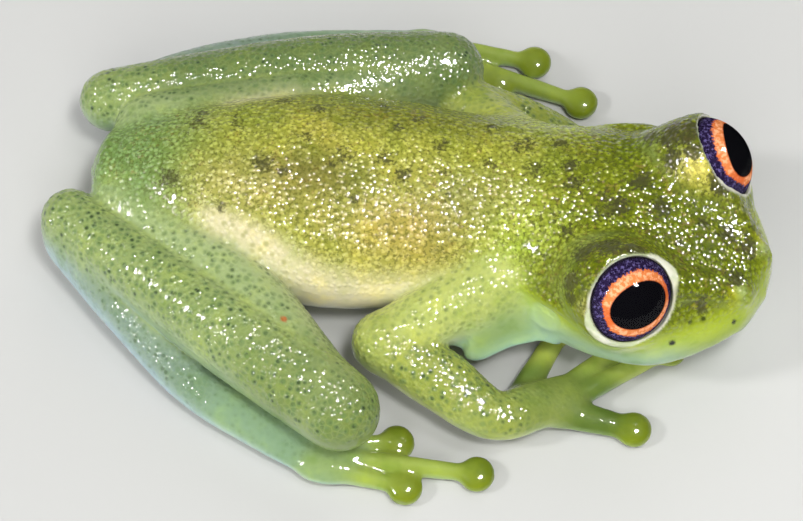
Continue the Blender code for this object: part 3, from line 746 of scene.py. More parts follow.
# Soft tints on back and head: distance from the vent, to the left, length, width, colour, strength
# The dark green tints far out on the left of the back are partly the skin's own darker green and partly
# painted shade
TINTS = (
    (17.2, 0.4, 2.4, 2.4, (0.620, 0.590, 0.130), 0.8),
    (12.9, 1.6, 1.6, 1.4, (0.640, 0.560, 0.110), 0.8),
    (15.5, 3.6, 4.5, 1.4, (0.280, 0.290, 0.035), 0.6),
    (12.2, -1.2, 3.4, 1.7, (0.190, 0.165, 0.045), 0.75),
    (8.5, -2.0, 2.6, 1.6, (0.640, 0.560, 0.220), 0.7),
    (17.5, -4.0, 5.0, 1.8, (0.640, 0.520, 0.160), 0.8),
    (18.8, -3.6, 2.2, 1.2, (0.640, 0.430, 0.090), 0.5),
    (21.0, -2.6, 3.0, 2.4, (0.340, 0.345, 0.110), 0.7),
    (25.6, -3.0, 2.6, 1.8, (0.540, 0.630, 0.075), 0.8),
    (20.5, 1.5, 4.5, 1.6, (0.430, 0.450, 0.050), 0.6),
    (18.2, 3.6, 4.0, 1.5, (0.190, 0.215, 0.012), 0.7),
    (15.0, 5.4, 9.0, 1.9, (0.190, 0.230, 0.025), 0.8),
    (27.0, 0.5, 3.0, 3.0, (0.300, 0.350, 0.020), 0.6),
    (32.5, 3.0, 1.2, 0.7, (0.900, 0.780, 0.200), 0.9),
    (35.2, 1.6, 1.4, 1.6, (0.260, 0.290, 0.010), 0.5),
    (36.9, -1.9, 0.4, 0.4, (0.460, 0.480, 0.005), 0.8),
    (37.2, -1.5, 0.4, 0.4, (0.380, 0.470, 0.170), 0.8),
    (36.9, 1.9, 0.4, 0.4, (0.460, 0.480, 0.005), 0.8),
    (37.2, 1.5, 0.4, 0.4, (0.380, 0.470, 0.170), 0.8),
    (30.3, -7.1, 0.8, 0.5, (0.420, 0.400, 0.130), 0.8),
)


def mixed(first, second, share):
    share = np.asarray(share)[:, None]
    return np.asarray(first) * (1 - share) + np.asarray(second) * share


def away_from(place):
    """The distance of each vertex to a place."""
    return np.linalg.norm(places - place, axis=1)


def patch(s, left, length, width):
    """A soft oval patch on the back, one in its middle."""
    return np.exp(-(((body_s - s) / length) ** 2) - ((body_left - left) / width) ** 2)


trunk = mixed(BACK, RUMP, 1 - soft_step(body_s, 3.0, 8.5))
trunk = mixed(trunk, NECK_SIDE, soft_step(body_s, 19.0, 24.5) * soft_step(across, 0.35, 0.85))
flank_edge = np.interp(body_s, *FLANK_EDGE) + FAR_FLANK_LOWER * (body_left > 0)
flank = soft_step(across + 0.3 * (facing_up < 0.3), flank_edge - 0.1, flank_edge + 0.12)
flank = flank * soft_step(body_s, 5.8, 7.8) * (1 - soft_step(body_s, 19.0, 22.0))
trunk = mixed(trunk, FLANK, flank)
trunk = mixed(trunk, BELLY, 1 - soft_step(facing_up, -0.6, -0.1))
cheek = mixed(CHEEK, CHEEK_FRONT, soft_step(body_s, 35.6, 37.4))
head = mixed(HEAD_TOP, cheek, 1 - soft_step(height, 5.2, 7.1))
to_front = soft_step(body_s, 34.5, 37.0)
lip = mixed(LIP, LIP_FRONT, to_front)
head = mixed(head, lip, 1 - soft_step(height + 0.4 * to_front, 3.9, 5.9))
head = mixed(head, THROAT, 1 - soft_step(height + 1.5 * facing_up, 1.6, 3.0))
for s, left, length, width, colour, strength in TINTS:
    share = strength * patch(s, left, length, width) * (1 - flank) * soft_step(facing_up, 0.0, 0.4)
    trunk = mixed(trunk, colour, share)
    head = mixed(head, colour, share)
tint = trunk * on_trunk[:, None] + head * on_head[:, None]
for kind, (top, under) in LIMB_COLOURS.items():
    shade = mixed(under, top, soft_step(facing_up, -0.15, 0.6))
    if kind == "shank":
        for word, side in SIDES:
            from_knee = away_from(mirrored(KNEE[word], side))
            shade = mixed(shade, KNEE_GREEN, 0.85 * (1 - soft_step(from_knee, 2.0, 8.5)))
    # Painted shade on the top of the far leg
    if kind in FAR_LEG:
        from_heel = away_from(mirrored(HEEL["left"], 1))
        far = soft_step(body_left, 3.0, 5.0) * soft_step(from_heel, 0.5, 5.5)
        far = far * soft_step(facing_up, -0.3, 0.5)
        shade = mixed(shade, FAR_LEG_SHADE_GREEN, FAR_LEG[kind] * far)
    # Painted shade on the far arm
    if kind in ("upper_arm", "forearm"):
        shade = mixed(shade, FAR_ARM_SHADE_GREEN, 0.5 * soft_step(body_left, 3.5, 6.0))
    # Painted light on the inner fingers, which lie in shade under the head
    if kind == "finger":
        shade = mixed(shade, INNER_FINGER_PAINTED_LIGHT, 1 - soft_step(np.abs(places[:, 1]), 5.0, 7.0))
    tint = tint + shade * weights[kind][:, None]
# Single marks: a rusty spot on the thigh, and dark specks on the lip. Place, radius and colour
RUST = (0.400, 0.120, 0.025)
SPECK = (0.010, 0.012, 0.006)
FAINT_SPECK = (0.060, 0.080, 0.010)
FAINTER_SPECK = (0.080, 0.100, 0.010)
MARKS = (
    ((-5.10, -9.14, 6.03), 0.20, RUST),
    ((15.35, -5.88, 5.33), 0.20, SPECK),
    ((18.36, -3.85, 5.23), 0.16, SPECK),
    ((16.75, -4.58, 6.17), 0.17, FAINT_SPECK),
    ((16.10, -4.96, 6.25), 0.14, FAINTER_SPECK),
)
for place, radius, colour in MARKS:
    within = 1 - soft_step(away_from(place), 0.6 * radius, 1.2 * radius)
    tint = mixed(tint, colour, within)

# Dark blotches on the back and head: distance from the vent, to the left, and size
BLOTCHES = (
    (5.8, 2.3, 1.1), (10.1, 4.2, 0.8), (8.0, 2.0, 0.7), (9.8, -0.7, 0.9), (11.0, -1.1, 0.6),
    (14.1, 0.2, 0.8), (13.4, -0.5, 0.5), (16.4, 0.1, 0.6), (17.4, -0.9, 0.6), (19.5, -0.4, 0.6),
    (22.0, 0.3, 0.6), (24.4, 0.0, 0.8), (26.1, 0.9, 0.6), (16.1, 4.2, 0.6), (16.8, 2.4, 0.5),
    (19.2, 1.2, 0.6), (23.2, 1.8, 0.8), (24.7, 2.3, 0.6), (26.7, 0.0, 0.7), (29.2, -0.6, 1.0),
    (29.9, 1.5, 0.8), (31.5, 0.4, 0.8), (35.2, 1.0, 0.7), (36.5, 1.0, 0.8), (36.6, -1.1, 0.7),
    (33.9, 0.8, 0.4), (27.6, -2.9, 0.5), (7.9, -3.3, 0.4), (20.0, -1.9, 0.4), (14.8, -2.4, 0.4),
    (5.0, -1.8, 0.8), (12.4, 3.4, 0.5), (33.2, -1.0, 0.4), (35.6, -3.2, 0.4), (12.0, 1.2, 0.5),
    (18.0, 3.0, 0.6), (21.4, 3.0, 0.6),
)
blotch = np.zeros(len(places))
for s, left, size in BLOTCHES:
    blotch = np.maximum(blotch, patch(s, left, size, size))
# Dark smudges round the eyes: place and size
SMUDGES = (
    ((9.9, -3.6, 9.1), 0.9), ((11.2, -3.3, 9.7), 1.0), ((12.5, -3.4, 10.0), 0.8),
    ((9.5, -5.2, 8.6), 0.75), ((9.6, -6.0, 8.1), 0.6), ((12.2, 4.6, 8.7), 0.8),
    ((13.3, 4.6, 9.4), 1.1), ((14.1, 4.6, 9.9), 1.0), ((13.6, 3.1, 9.2), 0.7),
    ((16.3, 2.3, 9.0), 0.8), ((14.6, 3.4, 10.0), 0.6),
)
SMUDGE_STRENGTH = 1.3
for place, size in SMUDGES:
    smudge = np.exp(-((places - place) ** 2).sum(1) / size**2)
    blotch = np.maximum(blotch, SMUDGE_STRENGTH * smudge)
blotch = blotch * (0.8 * on_trunk + on_head) * soft_step(facing_up, -0.1, 0.3)

# Lid rims: a smooth cream ring round each eye, wider in front and most at the lower rear corner
RIM_SHARE = {"right": 1.0, "left": 0.45}
RIM_WIDER_AT_CORNERS = 0.12
RIM_WIDER_IN_FRONT = 0.24
RIM_WIDER_BEHIND = 0.5
lid_rim = np.zeros(len(places))
for word, side in SIDES:
    offset = places - eye_centre(word, side)
    gaze = eye_axis(side)
    level = unit(np.cross((0.0, 0.0, 1.0), gaze))
    along = offset @ gaze
    beside = np.sqrt(np.maximum((offset**2).sum(1) - along**2, 0.0))
    rearward = side * (offset @ level) / np.maximum(beside, 0.1)
    upright = offset @ np.cross(gaze, level) / np.maximum(beside, 0.1)
    wider = RIM_WIDER_AT_CORNERS * soft_step(np.abs(rearward), 0.5, 1.0)
    front = 0.24 * upright - 0.97 * rearward
    wider = wider + RIM_WIDER_IN_FRONT * soft_step(front, 0.6, 1.0)
    rear_below = 0.8 * rearward - 0.6 * upright
    wider = wider + RIM_WIDER_BEHIND * soft_step(rear_below, 0.6, 1.0)
    wider = wider * RIM_SHARE[word]
    from_rim = np.hypot(beside - EYE_RADIUS + 0.1, along - LID_OPENING) - wider
    from_rim = np.minimum(from_rim, np.linalg.norm(offset, axis=1) - EYE_RADIUS)
    lid_rim = np.maximum(lid_rim, 1 - soft_step(from_rim, 0.07, 0.19))

# Mouth: a fine closed line from the snout back to below the eardrum, and the eardrum's faint ring
MOUTH_AT = (28.3, 33.2, SNOUT_VENT)
MOUTH_HEIGHTS = (2.95, 2.85, 3.95)
EARDRUM_AT = 28.0
EARDRUM_SIDE = 6.18
EARDRUM_HEIGHT = 4.9
EARDRUM_RADIUS = 1.0
GROOVE_HALF = 0.16
GROOVE_DEPTH = 0.13
mouth_height = np.interp(body_s, MOUTH_AT, MOUTH_HEIGHTS)
mouth_line = np.where((body_s > MOUTH_AT[0]) & (on_head > 0.5), height - mouth_height, 1.0)
mouth_line = np.clip(mouth_line, -1.0, 1.0)
groove = np.exp(-((mouth_line / GROOVE_HALF) ** 2))
groove = groove * soft_step(body_s, MOUTH_AT[0], MOUTH_AT[0] + 1.0)
eardrum = np.zeros(len(places))
for word, side in SIDES:
    middle = on_body(EARDRUM_AT, side * EARDRUM_SIDE, EARDRUM_HEIGHT)
    past_edge = away_from(middle) - EARDRUM_RADIUS
    eardrum = np.maximum(eardrum, 1 - soft_step(past_edge, -0.25, 0.1))
    ring = np.exp(-((past_edge / GROOVE_HALF) ** 2))
    groove = groove - 0.35 * ring * on_head
places = places - outward * (GROOVE_DEPTH * groove)[:, None]
tint = mixed(tint, EARDRUM_GREEN, 0.6 * eardrum * on_head)

# Where the skin is warty, dotted and speckled. Dots thin out in the folds between the lengths.
LENGTHS = (
    ("body",),
    ("thigh",),
    ("shank",),
    ("tarsus", "foot", "toe"),
    ("upper_arm",),
    ("forearm", "hand", "finger"),
)
apart = [np.min([near[kind] for kind in kinds], axis=0) for kinds in LENGTHS]
second_nearest = np.sort(np.stack(apart), axis=0)[1]
crease = 1 - soft_step(second_nearest, 0.1, 0.5)
upward = soft_step(facing_up, -0.1, 0.35)
granular = on_trunk * upward
granular = granular + on_head * soft_step(height, 4.4, 6.2) * soft_step(facing_up, -0.2, 0.3)
granular = granular * (1 - lid_rim)
# How warty and how dotted each length of the limbs is
LIMB_FINISH = {
    "thigh": (0.5, 0.75),
    "shank": (1.0, 1.0),
    "tarsus": (0.6, 0.55),
    "foot": (0.2, 0.15),
    "upper_arm": (0.9, 0.5),
    "forearm": (1.1, 0.9),
    "hand": (0.3, 0.25),
}
granular = granular + sum(weights[kind] * warty for kind, (warty, _) in LIMB_FINISH.items()) * upward
dotted = sum(weights[kind] * dots for kind, (_, dots) in LIMB_FINISH.items())
dotted = dotted * soft_step(facing_up, 0.0, 0.45) * (1 - 0.4 * crease)
stippled = 0.72 * on_trunk * soft_step(height, 4.0, 6.2) * (1 - 0.85 * flank)
stippled = stippled + on_head * soft_step(height, 5.7, 7.2)
stippled = stippled * soft_step(facing_up, 0.0, 0.4)
stippled = stippled * (1 - 0.6 * patch(32.5, 3.0, 1.1, 0.7))
for side in (-1, 1):
    stippled = stippled * (1 - 0.9 * patch(37.1, side * 1.65, 0.5, 0.5))
MASKS = {
    "granular": granular,
    "dotted": dotted,
    "flank_dots": flank * on_trunk * soft_step(facing_up, 0.1, 0.6),
    "stippled": stippled,
    "blotch": blotch,
    "lid_rim": lid_rim,
    "mouth_line": mouth_line,
    "crease": 1 - soft_step(second_nearest, 0.02, 0.18),
}
for name, values in MASKS.items():
    made = skin_mesh.attributes.new(name, "FLOAT", "POINT")
    made.data.foreach_set("value", np.ascontiguousarray(values, np.float32))
made = skin_mesh.attributes.new("tint", "FLOAT_COLOR", "POINT")
tint = np.c_[np.clip(tint, 0, 1), np.ones(len(places))]
made.data.foreach_set("color", tint.ravel().astype(np.float32))
places = places + TO_BOX_CENTRE
skin_mesh.vertices.foreach_set("co", (places * MM).ravel().astype(np.float32))
skin_mesh.update()
skin_mesh.shade_smooth()


def placed(name, data):
    """An object of the scene, made from a mesh, a lens or a lamp."""
    made = bpy.data.objects.new(name, data)
    bpy.context.scene.collection.objects.link(made)
    return made


skin = placed("frog_skin", skin_mesh)


def add(tree, kind, inputs=(), **settings):
    """A node with its settings, and its inputs given as numbers or as other nodes' outputs."""
    made = tree.nodes.new(kind)
    for key, value in settings.items():
        setattr(made, key, value)
    for key, value in dict(inputs).items():
        if isinstance(value, bpy.types.NodeSocket):
            tree.links.new(value, made.inputs[key])
        else:
            made.inputs[key].default_value = value
    return made


def math_node(tree, operation, *values):
    return add(tree, "ShaderNodeMath", dict(enumerate(values)), operation=operation).outputs[0]


def times(tree, first, second):
    return math_node(tree, "MULTIPLY", first, second)


def plus(tree, value, other, amount):
    """The value, and another times an amount."""
    return math_node(tree, "MULTIPLY_ADD", other, amount, value)


def swung(tree, value, pattern, amount):
    """The value, raised and lowered by a pattern's swing about a half."""
    return plus(tree, value, math_node(tree, "SUBTRACT", pattern, 0.5), amount)


def vector_node(tree, operation, inputs, output="Vector"):
    return add(tree, "ShaderNodeVectorMath", inputs, operation=operation).outputs[output]


def ramp(tree, value, low, high, to_low=0.0, to_high=1.0):
    """A smooth change from one number to another while the value goes from low to high."""
    ends = {"From Min": low, "From Max": high, "To Min": to_low, "To Max": to_high}
    made = add(tree, "ShaderNodeMapRange", {"Value": value, **ends}, interpolation_type="SMOOTHSTEP")
    return made.outputs["Result"]


def in_millimetres(tree, vector):
    return vector_node(tree, "SCALE", {0: vector, "Scale": 1 / MM})


def noise(tree, vector, per_mm, detail=2.0):
    inputs = {"Vector": vector, "Scale": per_mm, "Detail": detail, "Roughness": 0.6}
    return add(tree, "ShaderNodeTexNoise", inputs).outputs["Fac"]


def cells(tree, vector, apart, feature="F1"):
    """The distance to the middle of the nearest cell, or to the nearest edge between cells."""
    inputs = {"Vector": vector, "Scale": 1 / apart, "Randomness": 0.9}
    return add(tree, "ShaderNodeTexVoronoi", inputs, feature=feature).outputs["Distance"]


# Granules: the back, head and limbs are covered with small round warts that catch the light. The
# same cells raise the mesh and, more crisply, the shader.
GRANULE_APART = 0.29
GRANULE_HEIGHT = 0.02
SWELLS_PER_MM = 0.45
SWELL_HEIGHT = 0.09


def granule_height(tree, vector):
    """One on the granules' tops and nothing between them, at places in mm."""
    return ramp(tree, cells(tree, vector, GRANULE_APART), 0.68, 0.05)


bumps = bpy.data.node_groups.new("raised_granules", "GeometryNodeTree")
bumps.interface.new_socket("Geometry", in_out="INPUT", socket_type="NodeSocketGeometry")
bumps.interface.new_socket("Geometry", in_out="OUTPUT", socket_type="NodeSocketGeometry")
taken = bumps.nodes.new("NodeGroupInput")
given = bumps.nodes.new("NodeGroupOutput")
position = in_millimetres(bumps, bumps.nodes.new("GeometryNodeInputPosition").outputs[0])
strength = add(bumps, "GeometryNodeInputNamedAttribute", {"Name": "granular"}, data_type="FLOAT")
strength = times(bumps, strength.outputs["Attribute"], GRANULE_HEIGHT * MM)
strength = times(bumps, strength, granule_height(bumps, position))
strength = swung(bumps, strength, noise(bumps, position, SWELLS_PER_MM), SWELL_HEIGHT * MM)
normal = bumps.nodes.new("GeometryNodeInputNormal").outputs[0]
push = vector_node(bumps, "SCALE", {0: normal, "Scale": strength})
moved = add(bumps, "GeometryNodeSetPosition", {"Offset": push})
bumps.links.new(taken.outputs[0], moved.inputs["Geometry"])
bumps.links.new(moved.outputs["Geometry"], given.inputs[0])
raising = skin.modifiers.new("granules", "NODES")
raising.node_group = bumps
graph = bpy.context.evaluated_depsgraph_get()
raised = bpy.data.meshes.new_from_object(skin.evaluated_get(graph))
skin.modifiers.clear()
skin.data = raised
points = np.empty(len(raised.vertices) * 3, np.float32)
raised.vertices.foreach_get("co", points)
points = np.clip(points.reshape(-1, 3), cad_box[0], cad_box[1])
raised.vertices.foreach_set("co", points.ravel().astype(np.float32))
raised.update()

# Hide: the painted tints, then soft clouds, dark specks between the granules, broken blotches on
# the back, dotted cells on the limbs, smooth cream lid rims, and a wet coat over all
CLOUD_SHADE = (0.76, 0.84, 0.62, 1)
CLOUD_GLOW = (1.22, 1.18, 0.9, 1)
VALLEY_SHADE = (0.50, 0.52, 0.25, 1)
CROWN_GREEN = (0.60, 0.66, 0.14, 1)
DARK_STIPPLE = (0.068, 0.076, 0.008, 1)
RUSTY_STIPPLE = (0.34, 0.20, 0.05, 1)
BLOTCH_BROWN = (0.052, 0.050, 0.016, 1)
CELL_GREEN = (0.120, 0.200, 0.066, 1)
DOT_BLACK = (0.032, 0.052, 0.022, 1)
PALE_NET = (0.44, 0.54, 0.20, 1)
FLANK_DOT = (0.34, 0.33, 0.12, 1)
CREASE_YELLOW = (0.50, 0.58, 0.10, 1)
RIM_GREEN = (0.50, 0.56, 0.34, 1)
RIM_CREAM = (0.72, 0.72, 0.58, 1)
MOUTH_SHADE = (0.13, 0.17, 0.05, 1)
CELLS_APART = 0.4
FLANK_CELLS_APART = 0.52
BUMP_HEIGHT = 0.00005


def material(name):
    """A material, and the shader in it."""
    made = bpy.data.materials.new(name)
    made.use_nodes = True
    return made, made.node_tree.nodes["Principled BSDF"]


def set_all_over(values):
    """Puts numbers and colours that are the same all over on the shader's own sockets."""
    for name, value in values.items():
        shader.inputs[name].default_value = value


def read(name, output="Fac"):
    made = add(tree, "ShaderNodeAttribute", attribute_name=name, attribute_type="GEOMETRY")
    return made.outputs[output]


def blend(first, second, share, kind="MIX"):
    inputs = {0: share, 6: first, 7: second}
    return add(tree, "ShaderNodeMix", inputs, data_type="RGBA", blend_type=kind).outputs[2]


hide, shader = material("wet_hide")
tree = hide.node_tree
where = in_millimetres(tree, add(tree, "ShaderNodeTexCoord").outputs["Object"])
granule = granule_height(tree, where)
grain_share = read("granular")
dotted_here = read("dotted")
speckled = read("stippled")
cloud = noise(tree, where, 0.5, 3.0)
patchy = noise(tree, where, 1.4, 4.0)
fleck = noise(tree, where, 3.2)
fine = noise(tree, where, 5.4)
colour = read("tint", "Color")
colour = blend(colour, CLOUD_SHADE, ramp(tree, cloud, 0.5, 0.72, 0.0, 0.8), "MULTIPLY")
colour = blend(colour, CLOUD_GLOW, ramp(tree, cloud, 0.5, 0.3, 0.0, 0.7), "MULTIPLY")
valley = times(tree, ramp(tree, granule, 0.5, 0.0), plus(tree, speckled, grain_share, 0.12))
colour = blend(colour, VALLEY_SHADE, times(tree, valley, 0.75), "MULTIPLY")
crown = times(tree, ramp(tree, granule, 0.6, 1.0), times(tree, speckled, 0.16))
colour = blend(colour, CROWN_GREEN, crown)
stipple = times(tree, speckled, ramp(tree, fine, 0.48, 0.58))
stipple = times(tree, stipple, ramp(tree, fleck, 0.35, 0.6, 0.35, 0.9))
colour = blend(colour, DARK_STIPPLE, stipple)
rusty = times(tree, speckled, ramp(tree, fleck, 0.54, 0.64))
rusty = times(tree, rusty, ramp(tree, cloud, 0.55, 0.4))
colour = blend(colour, RUSTY_STIPPLE, times(tree, rusty, 0.3))
# Blotches: clusters of dark specks with torn edges
dark = times(tree, read("blotch"), 1.4)
dark = swung(tree, swung(tree, dark, patchy, 2.0), fine, 1.8)
dark = times(tree, ramp(tree, dark, 0.5, 1.25), ramp(tree, read("blotch"), 0.03, 0.4))
colour = blend(colour, BLOTCH_BROWN, times(tree, dark, 0.8))
# Limbs: dark dots in green cells, with a pale net between them
cell = cells(tree, where, CELLS_APART)
edge = cells(tree, where, CELLS_APART, "DISTANCE_TO_EDGE")
halo = times(tree, ramp(tree, cell, 0.62, 0.25), dotted_here)
halo = times(tree, halo, ramp(tree, fleck, 0.35, 0.6, 0.5, 1.0))
colour = blend(colour, CELL_GREEN, times(tree, halo, 0.72))
spot = times(tree, ramp(tree, cell, 0.38, 0.12), dotted_here)
spot = times(tree, spot, ramp(tree, patchy, 0.40, 0.62))
colour = blend(colour, DOT_BLACK, times(tree, spot, 0.92))
net = times(tree, ramp(tree, edge, 0.14, 0.02), dotted_here)
colour = blend(colour, PALE_NET, times(tree, net, 0.09))
flank_dot = ramp(tree, cells(tree, where, FLANK_CELLS_APART), 0.46, 0.15)
flank_dot = times(tree, flank_dot, read("flank_dots"))
colour = blend(colour, FLANK_DOT, times(tree, flank_dot, 0.7))
colour = blend(colour, CREASE_YELLOW, times(tree, read("crease"), 0.14))
rim = blend(RIM_GREEN, RIM_CREAM, ramp(tree, cloud, 0.4, 0.55))
colour = blend(colour, rim, read("lid_rim"))
mouth = math_node(tree, "ABSOLUTE", read("mouth_line"))
colour = blend(colour, MOUTH_SHADE, ramp(tree, mouth, 0.09, 0.03, 0.0, 0.7))
tree.links.new(colour, shader.inputs["Base Color"])
relief = plus(tree, times(tree, granule, grain_share), fleck, 0.25)
bump = add(tree, "ShaderNodeBump", {"Height": relief, "Distance": BUMP_HEIGHT, "Strength": 1.0})
tree.links.new(bump.outputs["Normal"], shader.inputs["Normal"])
tree.links.new(bump.outputs["Normal"], shader.inputs["Coat Normal"])
tree.links.new(ramp(tree, fleck, 0.3, 0.7, 0.35, 0.5), shader.inputs["Roughness"])
WET_FLESH = {
    "Specular IOR Level": 0.04,
    "Subsurface Weight": 0.4,
    "Subsurface Radius": (1.0, 1.0, 0.45),
    "Subsurface Scale": 0.0006,
    "Coat Weight": 1.0,
    "Coat Roughness": 0.05,
    "Coat IOR": 1.5,
}
set_all_over(WET_FLESH)
raised.materials.append(hide)
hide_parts(*[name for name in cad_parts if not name.startswith("eye_")])
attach(skin, "root")

# Eyes: a painted ball under a clear cornea. The iris is a shallow dome set back from the cornea,
# with an oval pupil that lies level, an orange ring round it, and a dark violet rim.
CORNEA_RADIUS = 2.45
BALL_RADIUS = 2.42
IRIS_RADIUS = 2.38
IRIS_EDGE = 0.5
IRIS_CROWN = 1.9
PUPIL_HALF = (1.66, 1.29)
STREAK_HEIGHT = 0.00003
# The left eye is turned a little inward and up in its socket
TURNED = {"right": (0.0, 0.0, 0.0), "left": (-0.019, -0.062, 0.058)}
EYE_AROUND = 72


def turned_form(name, profile, middle, turn):
    """A closed form of revolution, from points of radius and height in mm, crown first. Its
    vertices keep their places in the eye's own frame, where Z is the gaze and X lies level."""
    angle = 2 * np.pi * np.arange(EYE_AROUND) / EYE_AROUND
    radius, level = np.array(profile[1:-1]).T[:, :, None]
    rings = np.stack([radius * np.cos(angle), radius * np.sin(angle), level + 0 * angle], -1)
    tips = [(0.0, 0.0, profile[k][1]) for k in (0, -1)]
    points, quads, fans = loft(rings, *tips)
    mesh = bpy.data.meshes.new(name)
    mesh.from_pydata(((points @ turn.T + middle) * MM).tolist(), [], quads.tolist() + fans.tolist())
    own = mesh.attributes.new("in_eye", "FLOAT_VECTOR", "POINT")
    own.data.foreach_set("vector", points.ravel().astype(np.float32))
    mesh.update()
    mesh.shade_smooth()
    return placed(name, mesh)


def ball_profile(radius, first, last, count):
    tilt = np.linspace(first, last, count)
    return [(radius * math.sin(a), radius * math.cos(a)) for a in tilt]


drop = IRIS_CROWN - IRIS_EDGE
dome_radius = (IRIS_RADIUS**2 + drop**2) / (2 * drop)
iris_profile = []
for r in np.linspace(0.0, IRIS_RADIUS, 26):
    iris_profile.append((r, IRIS_CROWN - dome_radius + math.sqrt(dome_radius**2 - r**2)))
behind = math.acos(0.3 / BALL_RADIUS)
eyeball_profile = iris_profile + ball_profile(BALL_RADIUS, behind, math.pi, 22)

# Iris: fine orange streaks out from the pupil, redder at their ragged ends, and violet beyond
ORANGE = (0.74, 0.225, 0.065, 1)
PALE_ORANGE = (0.96, 0.46, 0.24, 1)
END_RED = (0.66, 0.11, 0.02, 1)
RAGGED_RED = (0.66, 0.12, 0.02, 1)
INNER_RED = (0.60, 0.10, 0.02, 1)
DARK_VIOLET = (0.020, 0.012, 0.045, 1)
VIOLET = (0.120, 0.095, 0.260, 1)
VIOLET_BLACK = (0.006, 0.004, 0.012, 1)
EDGE_BLACK = (0.008, 0.006, 0.012, 1)
BALL_CREAM = (0.82, 0.80, 0.66, 1)
PUPIL_BLACK = (0.002, 0.002, 0.003, 1)
iris, shader = material("orange_iris")
tree = iris.node_tree
where = read("in_eye", "Vector")
axes = add(tree, "ShaderNodeSeparateXYZ", {0: where}).outputs
flat = add(tree, "ShaderNodeCombineXYZ", {0: axes[0], 1: axes[1]}).outputs[0]
out_from_middle = vector_node(tree, "LENGTH", {0: flat}, "Value")
inverse = tuple(1 / half for half in PUPIL_HALF)
squeezed = vector_node(tree, "MULTIPLY", {0: flat, 1: (*inverse, 0.0)})
squeezed = vector_node(tree, "LENGTH", {0: squeezed}, "Value")
streak = noise(tree, vector_node(tree, "NORMALIZE", {0: flat}), 14.0, 3.0)
grain = noise(tree, where, 6.0, 3.0)
# How far out from the pupil's edge to the iris's: nothing at the pupil, one at the rim
pupil_edge = math_node(tree, "DIVIDE", out_from_middle, squeezed)
share = math_node(tree, "SUBTRACT", out_from_middle, pupil_edge)
share = math_node(tree, "DIVIDE", share, math_node(tree, "SUBTRACT", IRIS_RADIUS, pupil_edge))
ragged = swung(tree, swung(tree, share, streak, 0.25), grain, 0.35)
level_share = math_node(tree, "ABSOLUTE", math_node(tree, "DIVIDE", axes[0], out_from_middle))
ends = ramp(tree, level_share, 0.9, 1.0)
ragged = plus(tree, ragged, ends, 0.14)
marble = plus(tree, noise(tree, where, 3.6, 3.0), streak, 0.35)
orange = blend(ORANGE, PALE_ORANGE, ramp(tree, marble, 0.62, 0.76))
orange = blend(orange, END_RED, times(tree, ends, 0.8))
orange = blend(orange, RAGGED_RED, ramp(tree, ragged, 0.34, 0.50, 0.0, 0.8))
orange = blend(orange, INNER_RED, ramp(tree, share, 0.10, 0.02, 0.0, 0.7))
violet = blend(DARK_VIOLET, VIOLET, ramp(tree, grain, 0.50, 0.64))
violet = blend(violet, VIOLET_BLACK, ramp(tree, noise(tree, where, 11.0), 0.54, 0.62))
colour = blend(orange, violet, ramp(tree, ragged, 0.47, 0.53))
outer = ramp(tree, out_from_middle, IRIS_RADIUS - 0.14, IRIS_RADIUS - 0.04)
colour = blend(colour, EDGE_BLACK, outer)
beyond = ramp(tree, out_from_middle, IRIS_RADIUS - 0.01, IRIS_RADIUS + 0.02)
colour = blend(colour, BALL_CREAM, beyond)
rear = ramp(tree, axes[2], IRIS_EDGE - 0.02, IRIS_EDGE - 0.08)
colour = blend(colour, BALL_CREAM, rear)
pupil = ramp(tree, plus(tree, squeezed, streak, 0.03), 1.03, 1.0)
pupil = times(tree, pupil, ramp(tree, axes[2], 0.0, 0.2))
colour = blend(colour, PUPIL_BLACK, pupil)
tree.links.new(colour, shader.inputs["Base Color"])
relief = times(tree, streak, ramp(tree, pupil, 1.0, 0.0))
bump = add(tree, "ShaderNodeBump", {"Height": relief, "Distance": STREAK_HEIGHT, "Strength": 0.5})
tree.links.new(bump.outputs["Normal"], shader.inputs["Normal"])
set_all_over({"Roughness": 0.6, "Specular IOR Level": 0.0})

# Cornea: clear, and seen only by its wet glint
clear, shader = material("clear_cornea")
WHITE = (1.0, 1.0, 1.0, 1.0)
set_all_over({"Base Color": WHITE, "Metallic": 1.0, "Roughness": 0.015, "Alpha": 0.012})

cornea_profile = ball_profile(CORNEA_RADIUS, 0.0, math.pi, 40)
for word, side in SIDES:
    gaze = unit(eye_axis(side) + TURNED[word])
    level = unit(np.cross((0.0, 0.0, 1.0), gaze))
    turn = np.stack([level, np.cross(gaze, level), gaze], -1)
    middle = eye_centre(word, side) + TO_BOX_CENTRE
    eyeball = turned_form("eyeball_" + word, eyeball_profile, middle, turn)
    eyeball.data.materials.append(iris)
    cornea = turned_form("cornea_" + word, cornea_profile, middle, turn)
    cornea.data.materials.append(clear)
    for piece in (eyeball, cornea):
        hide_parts("eye_" + word)
        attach(piece, "root")

# Stage: a plain pale floor, soft studio light, and the camera at the photograph's angle.
FLOOR_HALF = 0.6
FLOOR_BELOW = 0.00002
FLOOR_GREY = (0.5, 0.5, 0.485, 1)
floor_mesh = bpy.data.meshes.new("pale_floor")
corners = ((-1, -1), (1, -1), (1, 1), (-1, 1))
corners = [(FLOOR_HALF * x, FLOOR_HALF * y, 0) for x, y in corners]
floor_mesh.from_pydata(corners, [], [(0, 1, 2, 3)])
floor = placed("pale_floor", floor_mesh)
floor.location.z = -FLOOR_BELOW
floor_paint, shader = material("floor_paint")
set_all_over({"Base Color": FLOOR_GREY})
floor_mesh.materials.append(floor_paint)

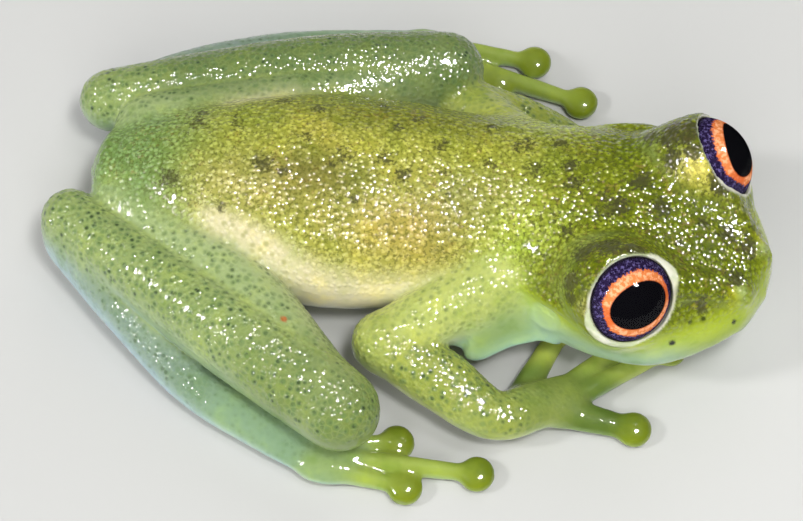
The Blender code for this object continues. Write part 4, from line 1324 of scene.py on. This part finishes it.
CAMERA_AROUND = math.radians(12.0)
CAMERA_UP = math.radians(58.0)
CAMERA_AWAY = 220.0
CAMERA_AIM = TO_BOX_CENTRE + (0.0, -3.0, 4.0)
FOCAL_PIXELS = 4048.0
PHOTO_PIXELS = 803
level_away = math.cos(CAMERA_UP)
back = (math.sin(CAMERA_AROUND) * level_away, -math.cos(CAMERA_AROUND) * level_away)
back = np.array((*back, math.sin(CAMERA_UP)))
lens = bpy.data.cameras.new("camera")
lens.sensor_width = 36.0
lens.lens = FOCAL_PIXELS / PHOTO_PIXELS * lens.sensor_width
lens.clip_start = 0.01
lens.clip_end = 10.0
camera = placed("camera", lens)
camera.location = (CAMERA_AIM + back * CAMERA_AWAY) * MM
camera.rotation_euler = Vector(back).to_track_quat("Z", "Y").to_euler()
bpy.context.scene.camera = camera


def soft_box(name, direction, size, watts, lit=True, mirrored=True, away=0.5):
    """A square studio light aimed at the frog: for its light, its reflection, or both."""
    lamp = bpy.data.lights.new(name, "AREA")
    lamp.size = size
    lamp.energy = watts
    made = placed(name, lamp)
    made.location = Vector(direction).normalized() * away
    made.visible_diffuse = lit
    made.visible_glossy = mirrored
    made.rotation_euler = Vector(direction).to_track_quat("Z", "Y").to_euler()


SIDE_WAY = (-0.702, -0.352, 0.619)
soft_box("key", (0.26, -0.3, 0.92), 0.1, 1.5, mirrored=False)
soft_box("side", SIDE_WAY, 0.06, 1.0, mirrored=False)
soft_box("key_glint", (0.342, 0.027, 0.939), 0.09, 7.0, lit=False)
soft_box("side_glint", SIDE_WAY, 0.07, 4.0, lit=False)
soft_box("front", (0.1, -0.85, 0.55), 0.4, 1.7, mirrored=False)
soft_box("back", (0.1, 0.8, 0.6), 0.4, 0.8, mirrored=False)
world = bpy.data.worlds.new("studio")
bpy.context.scene.world = world
world.use_nodes = True
sky = world.node_tree.nodes["Background"]
sky.inputs["Color"].default_value = WHITE
sky.inputs["Strength"].default_value = 0.13
bpy.context.scene.view_settings.view_transform = "Standard"
